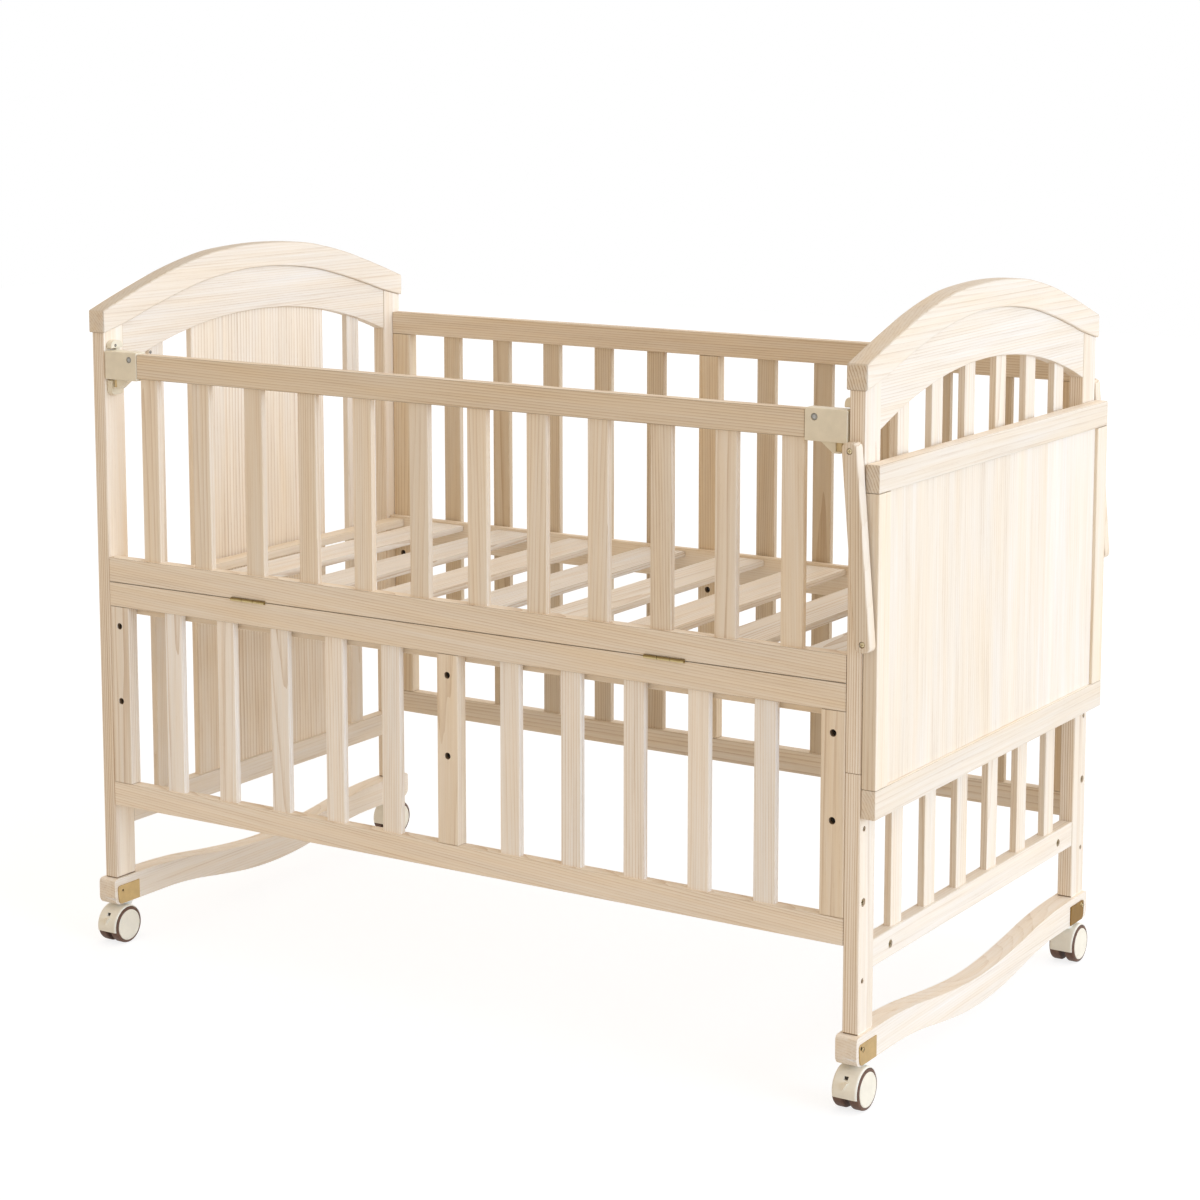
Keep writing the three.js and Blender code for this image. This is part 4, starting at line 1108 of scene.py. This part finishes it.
for name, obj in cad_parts.items():
    for slot in obj.material_slots:
        slot.material = HINGE if name.startswith("hinge") else WOOD
    if name.startswith("hinge"):
        soft = obj.modifiers.new("edges", "BEVEL")
        soft.width = 0.00018
        soft.segments = 2
        soft.limit_method = "ANGLE"


# Stage, light and camera

def stage():
    """The pale floor."""
    bm = bmesh.new()
    bmesh.ops.create_grid(bm, x_segments=24, y_segments=24, size=7.0)
    mesh = bpy.data.meshes.new("floor")
    bm.to_mesh(mesh)
    bm.free()
    obj = bpy.data.objects.new("floor", mesh)
    bpy.context.scene.collection.objects.link(obj)
    s = Shade("floor_pale")
    seen = s.unlit()
    # Seen straight on, the floor is near white with a light shadow; to other rays it is pale paint
    cast = s.add("ShaderNodeMix", {0: seen, 6: (0.76, 0.75, 0.73, 1), 7: (0.30, 0.317, 0.345, 1)},
                 data_type="RGBA").outputs[2]
    diffuse = s.add("ShaderNodeBsdfDiffuse", {"Color": cast})
    glow = s.add("ShaderNodeEmission", {"Color": (1, 1, 1, 1),
                                        "Strength": s.math("MULTIPLY", seen, 0.80)})
    both = s.add("ShaderNodeAddShader", {0: diffuse.outputs[0], 1: glow.outputs[0]})
    s.add("ShaderNodeOutputMaterial", {"Surface": both.outputs[0]})
    mesh.materials.append(s.mat)


def light():
    """A warm even fill, a cooler broad key towards the table end and a soft light from above."""
    s = Shade("studio", bpy.data.worlds)
    bpy.context.scene.world = s.mat
    fill = s.add("ShaderNodeBackground", {0: (0.700, 0.568, 0.425, 1), 1: 1.0}).outputs[0]
    white = s.add("ShaderNodeBackground", {0: (1, 1, 1, 1)}).outputs[0]
    mixed = s.add("ShaderNodeMixShader", {0: s.unlit(), 1: fill, 2: white}).outputs[0]
    s.add("ShaderNodeOutputWorld", {0: mixed})
    for name, colour, energy, direction, angle in (
            ("key", (0.50, 0.72, 1.0), 1.85, (1.0, -0.08, 0.20), 40),
            ("overhead", (1.0, 0.98, 0.96), 1.05, (0.60, 0.50, 0.62), 100)):
        data = bpy.data.lights.new(name, "SUN")
        data.energy = energy
        data.color = colour
        data.angle = math.radians(angle)
        obj = bpy.data.objects.new(name, data)
        obj.rotation_euler = Vector(direction).to_track_quat("Z", "Y").to_euler()
        bpy.context.scene.collection.objects.link(obj)


def camera():
    """The photograph's viewpoint."""
    data = bpy.data.cameras.new("camera")
    data.sensor_width = 36.0
    data.lens = FOCAL_PX * data.sensor_width / FRAME_PX
    data.shift_y = -0.14
    obj = bpy.data.objects.new("camera", data)
    obj.location = CAMERA_AT
    obj.rotation_euler = (math.pi / 2 - CAMERA_DOWN, 0.0, CAMERA_TURN)
    bpy.context.scene.collection.objects.link(obj)
    bpy.context.scene.camera = obj


stage()
light()
camera()
bpy.context.scene.view_settings.view_transform = "Standard"
